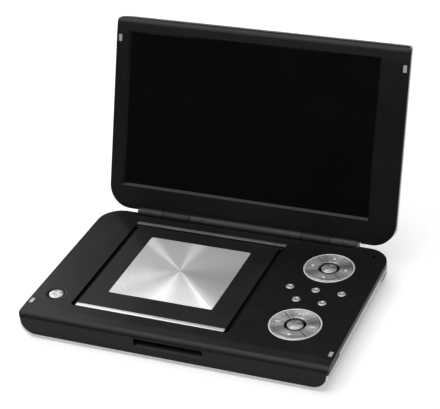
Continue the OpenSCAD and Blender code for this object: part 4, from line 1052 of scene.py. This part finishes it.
# How far the floor reaches to each side, in metres
FLOOR_REACH = 8
# How much the floor and the backdrop shine towards the camera, and how much the room lights
FLOOR_GLOW = 0.36
BACKDROP_GLOW = 0.98
ROOM_GLOW = 0.12
# The camera's place, how it is turned aside, down and about its line of sight, and its lens in millimetres
CAMERA_PLACE = (0.448791, -0.999208, 0.722545)
CAMERA_TURNS = (24.199, 30.561, -4.346)
CAMERA_LENS = 126.66


def make_floor():
    """A wide pale floor under the feet."""
    bm = bmesh.new()
    bmesh.ops.create_grid(bm, x_segments=1, y_segments=1, size=FLOOR_REACH)
    mesh = bpy.data.meshes.new("floor")
    bm.to_mesh(mesh)
    bm.free()
    floor = bpy.data.objects.new("floor", mesh)
    bpy.context.scene.collection.objects.link(floor)
    material, tree, shader = new_finish("pale floor")
    place = add(tree, "TexCoord").outputs["Object"]
    cloud = add(tree, "TexNoise", {"Vector": place, "Scale": FLOOR_CLOUDS}).outputs["Fac"]
    colour = blend_colours(tree, cloud, (0.86, 0.86, 0.86), (0.88, 0.88, 0.88))
    tree.links.new(colour, shader.inputs["Base Color"])
    shader.inputs["Roughness"].default_value = 0.9
    shader.inputs["Specular IOR Level"].default_value = 0.1
    seen = add(tree, "LightPath").outputs["Is Camera Ray"]
    shader.inputs["Emission Color"].default_value = (1, 1, 1, 1)
    tree.links.new(ranged(tree, seen, 0, 1, 0.0, FLOOR_GLOW), shader.inputs["Emission Strength"])
    mesh.materials.append(material)


def soft_light(name, at, aim, width, depth, power):
    """A soft box that faces a point, with its sides in metres and its power in watts."""
    data = bpy.data.lights.new(name, "AREA")
    data.shape = "RECTANGLE"
    data.size = width
    data.size_y = depth
    data.energy = power
    light = bpy.data.objects.new(name, data)
    light.location = at
    light.rotation_euler = (Vector(aim) - Vector(at)).to_track_quat("-Z", "Y").to_euler()
    bpy.context.scene.collection.objects.link(light)


def make_lights():
    """A large soft box overhead, one behind on the left, a weak one in front, and a dim room."""
    soft_light("overhead box", (-0.4, -0.15, 2.2), (0, 0, 0.05), 3.4, 2.8, 60)
    soft_light("left box", (-1.6, 1.2, 1.2), (0, 0, 0.1), 1.2, 1.0, 7.5)
    soft_light("front box", (-0.9, -2.9, 1.7), (0, 0.1, 0.1), 2.6, 1.4, 8)
    world = bpy.data.worlds.new("room")
    world.use_nodes = True
    tree = world.node_tree
    room = tree.nodes["Background"]
    room.inputs["Color"].default_value = (0.9, 0.92, 0.95, 1)
    room.inputs["Strength"].default_value = ROOM_GLOW
    backdrop = add(tree, "Background", {"Color": (1, 1, 1), "Strength": BACKDROP_GLOW})
    seen = add(tree, "LightPath").outputs["Is Camera Ray"]
    both = add(tree, "MixShader", {0: seen, 1: room.outputs[0], 2: backdrop.outputs[0]})
    tree.links.new(both.outputs[0], tree.nodes["World Output"].inputs["Surface"])
    bpy.context.scene.world = world


def make_camera():
    """Looks down from the front right, a little turned about the line of sight."""
    data = bpy.data.cameras.new("camera")
    data.lens = CAMERA_LENS
    camera = bpy.data.objects.new("camera", data)
    aside, down, roll = (math.radians(angle) for angle in CAMERA_TURNS)
    aimed = Matrix.Rotation(aside, 4, "Z") @ Matrix.Rotation(math.pi / 2 - down, 4, "X")
    camera.matrix_world = Matrix.Translation(CAMERA_PLACE) @ aimed @ Matrix.Rotation(roll, 4, "Z")
    bpy.context.scene.collection.objects.link(camera)
    bpy.context.scene.camera = camera


make_floor()
make_lights()
make_camera()
bpy.context.scene.view_settings.view_transform = "Standard"
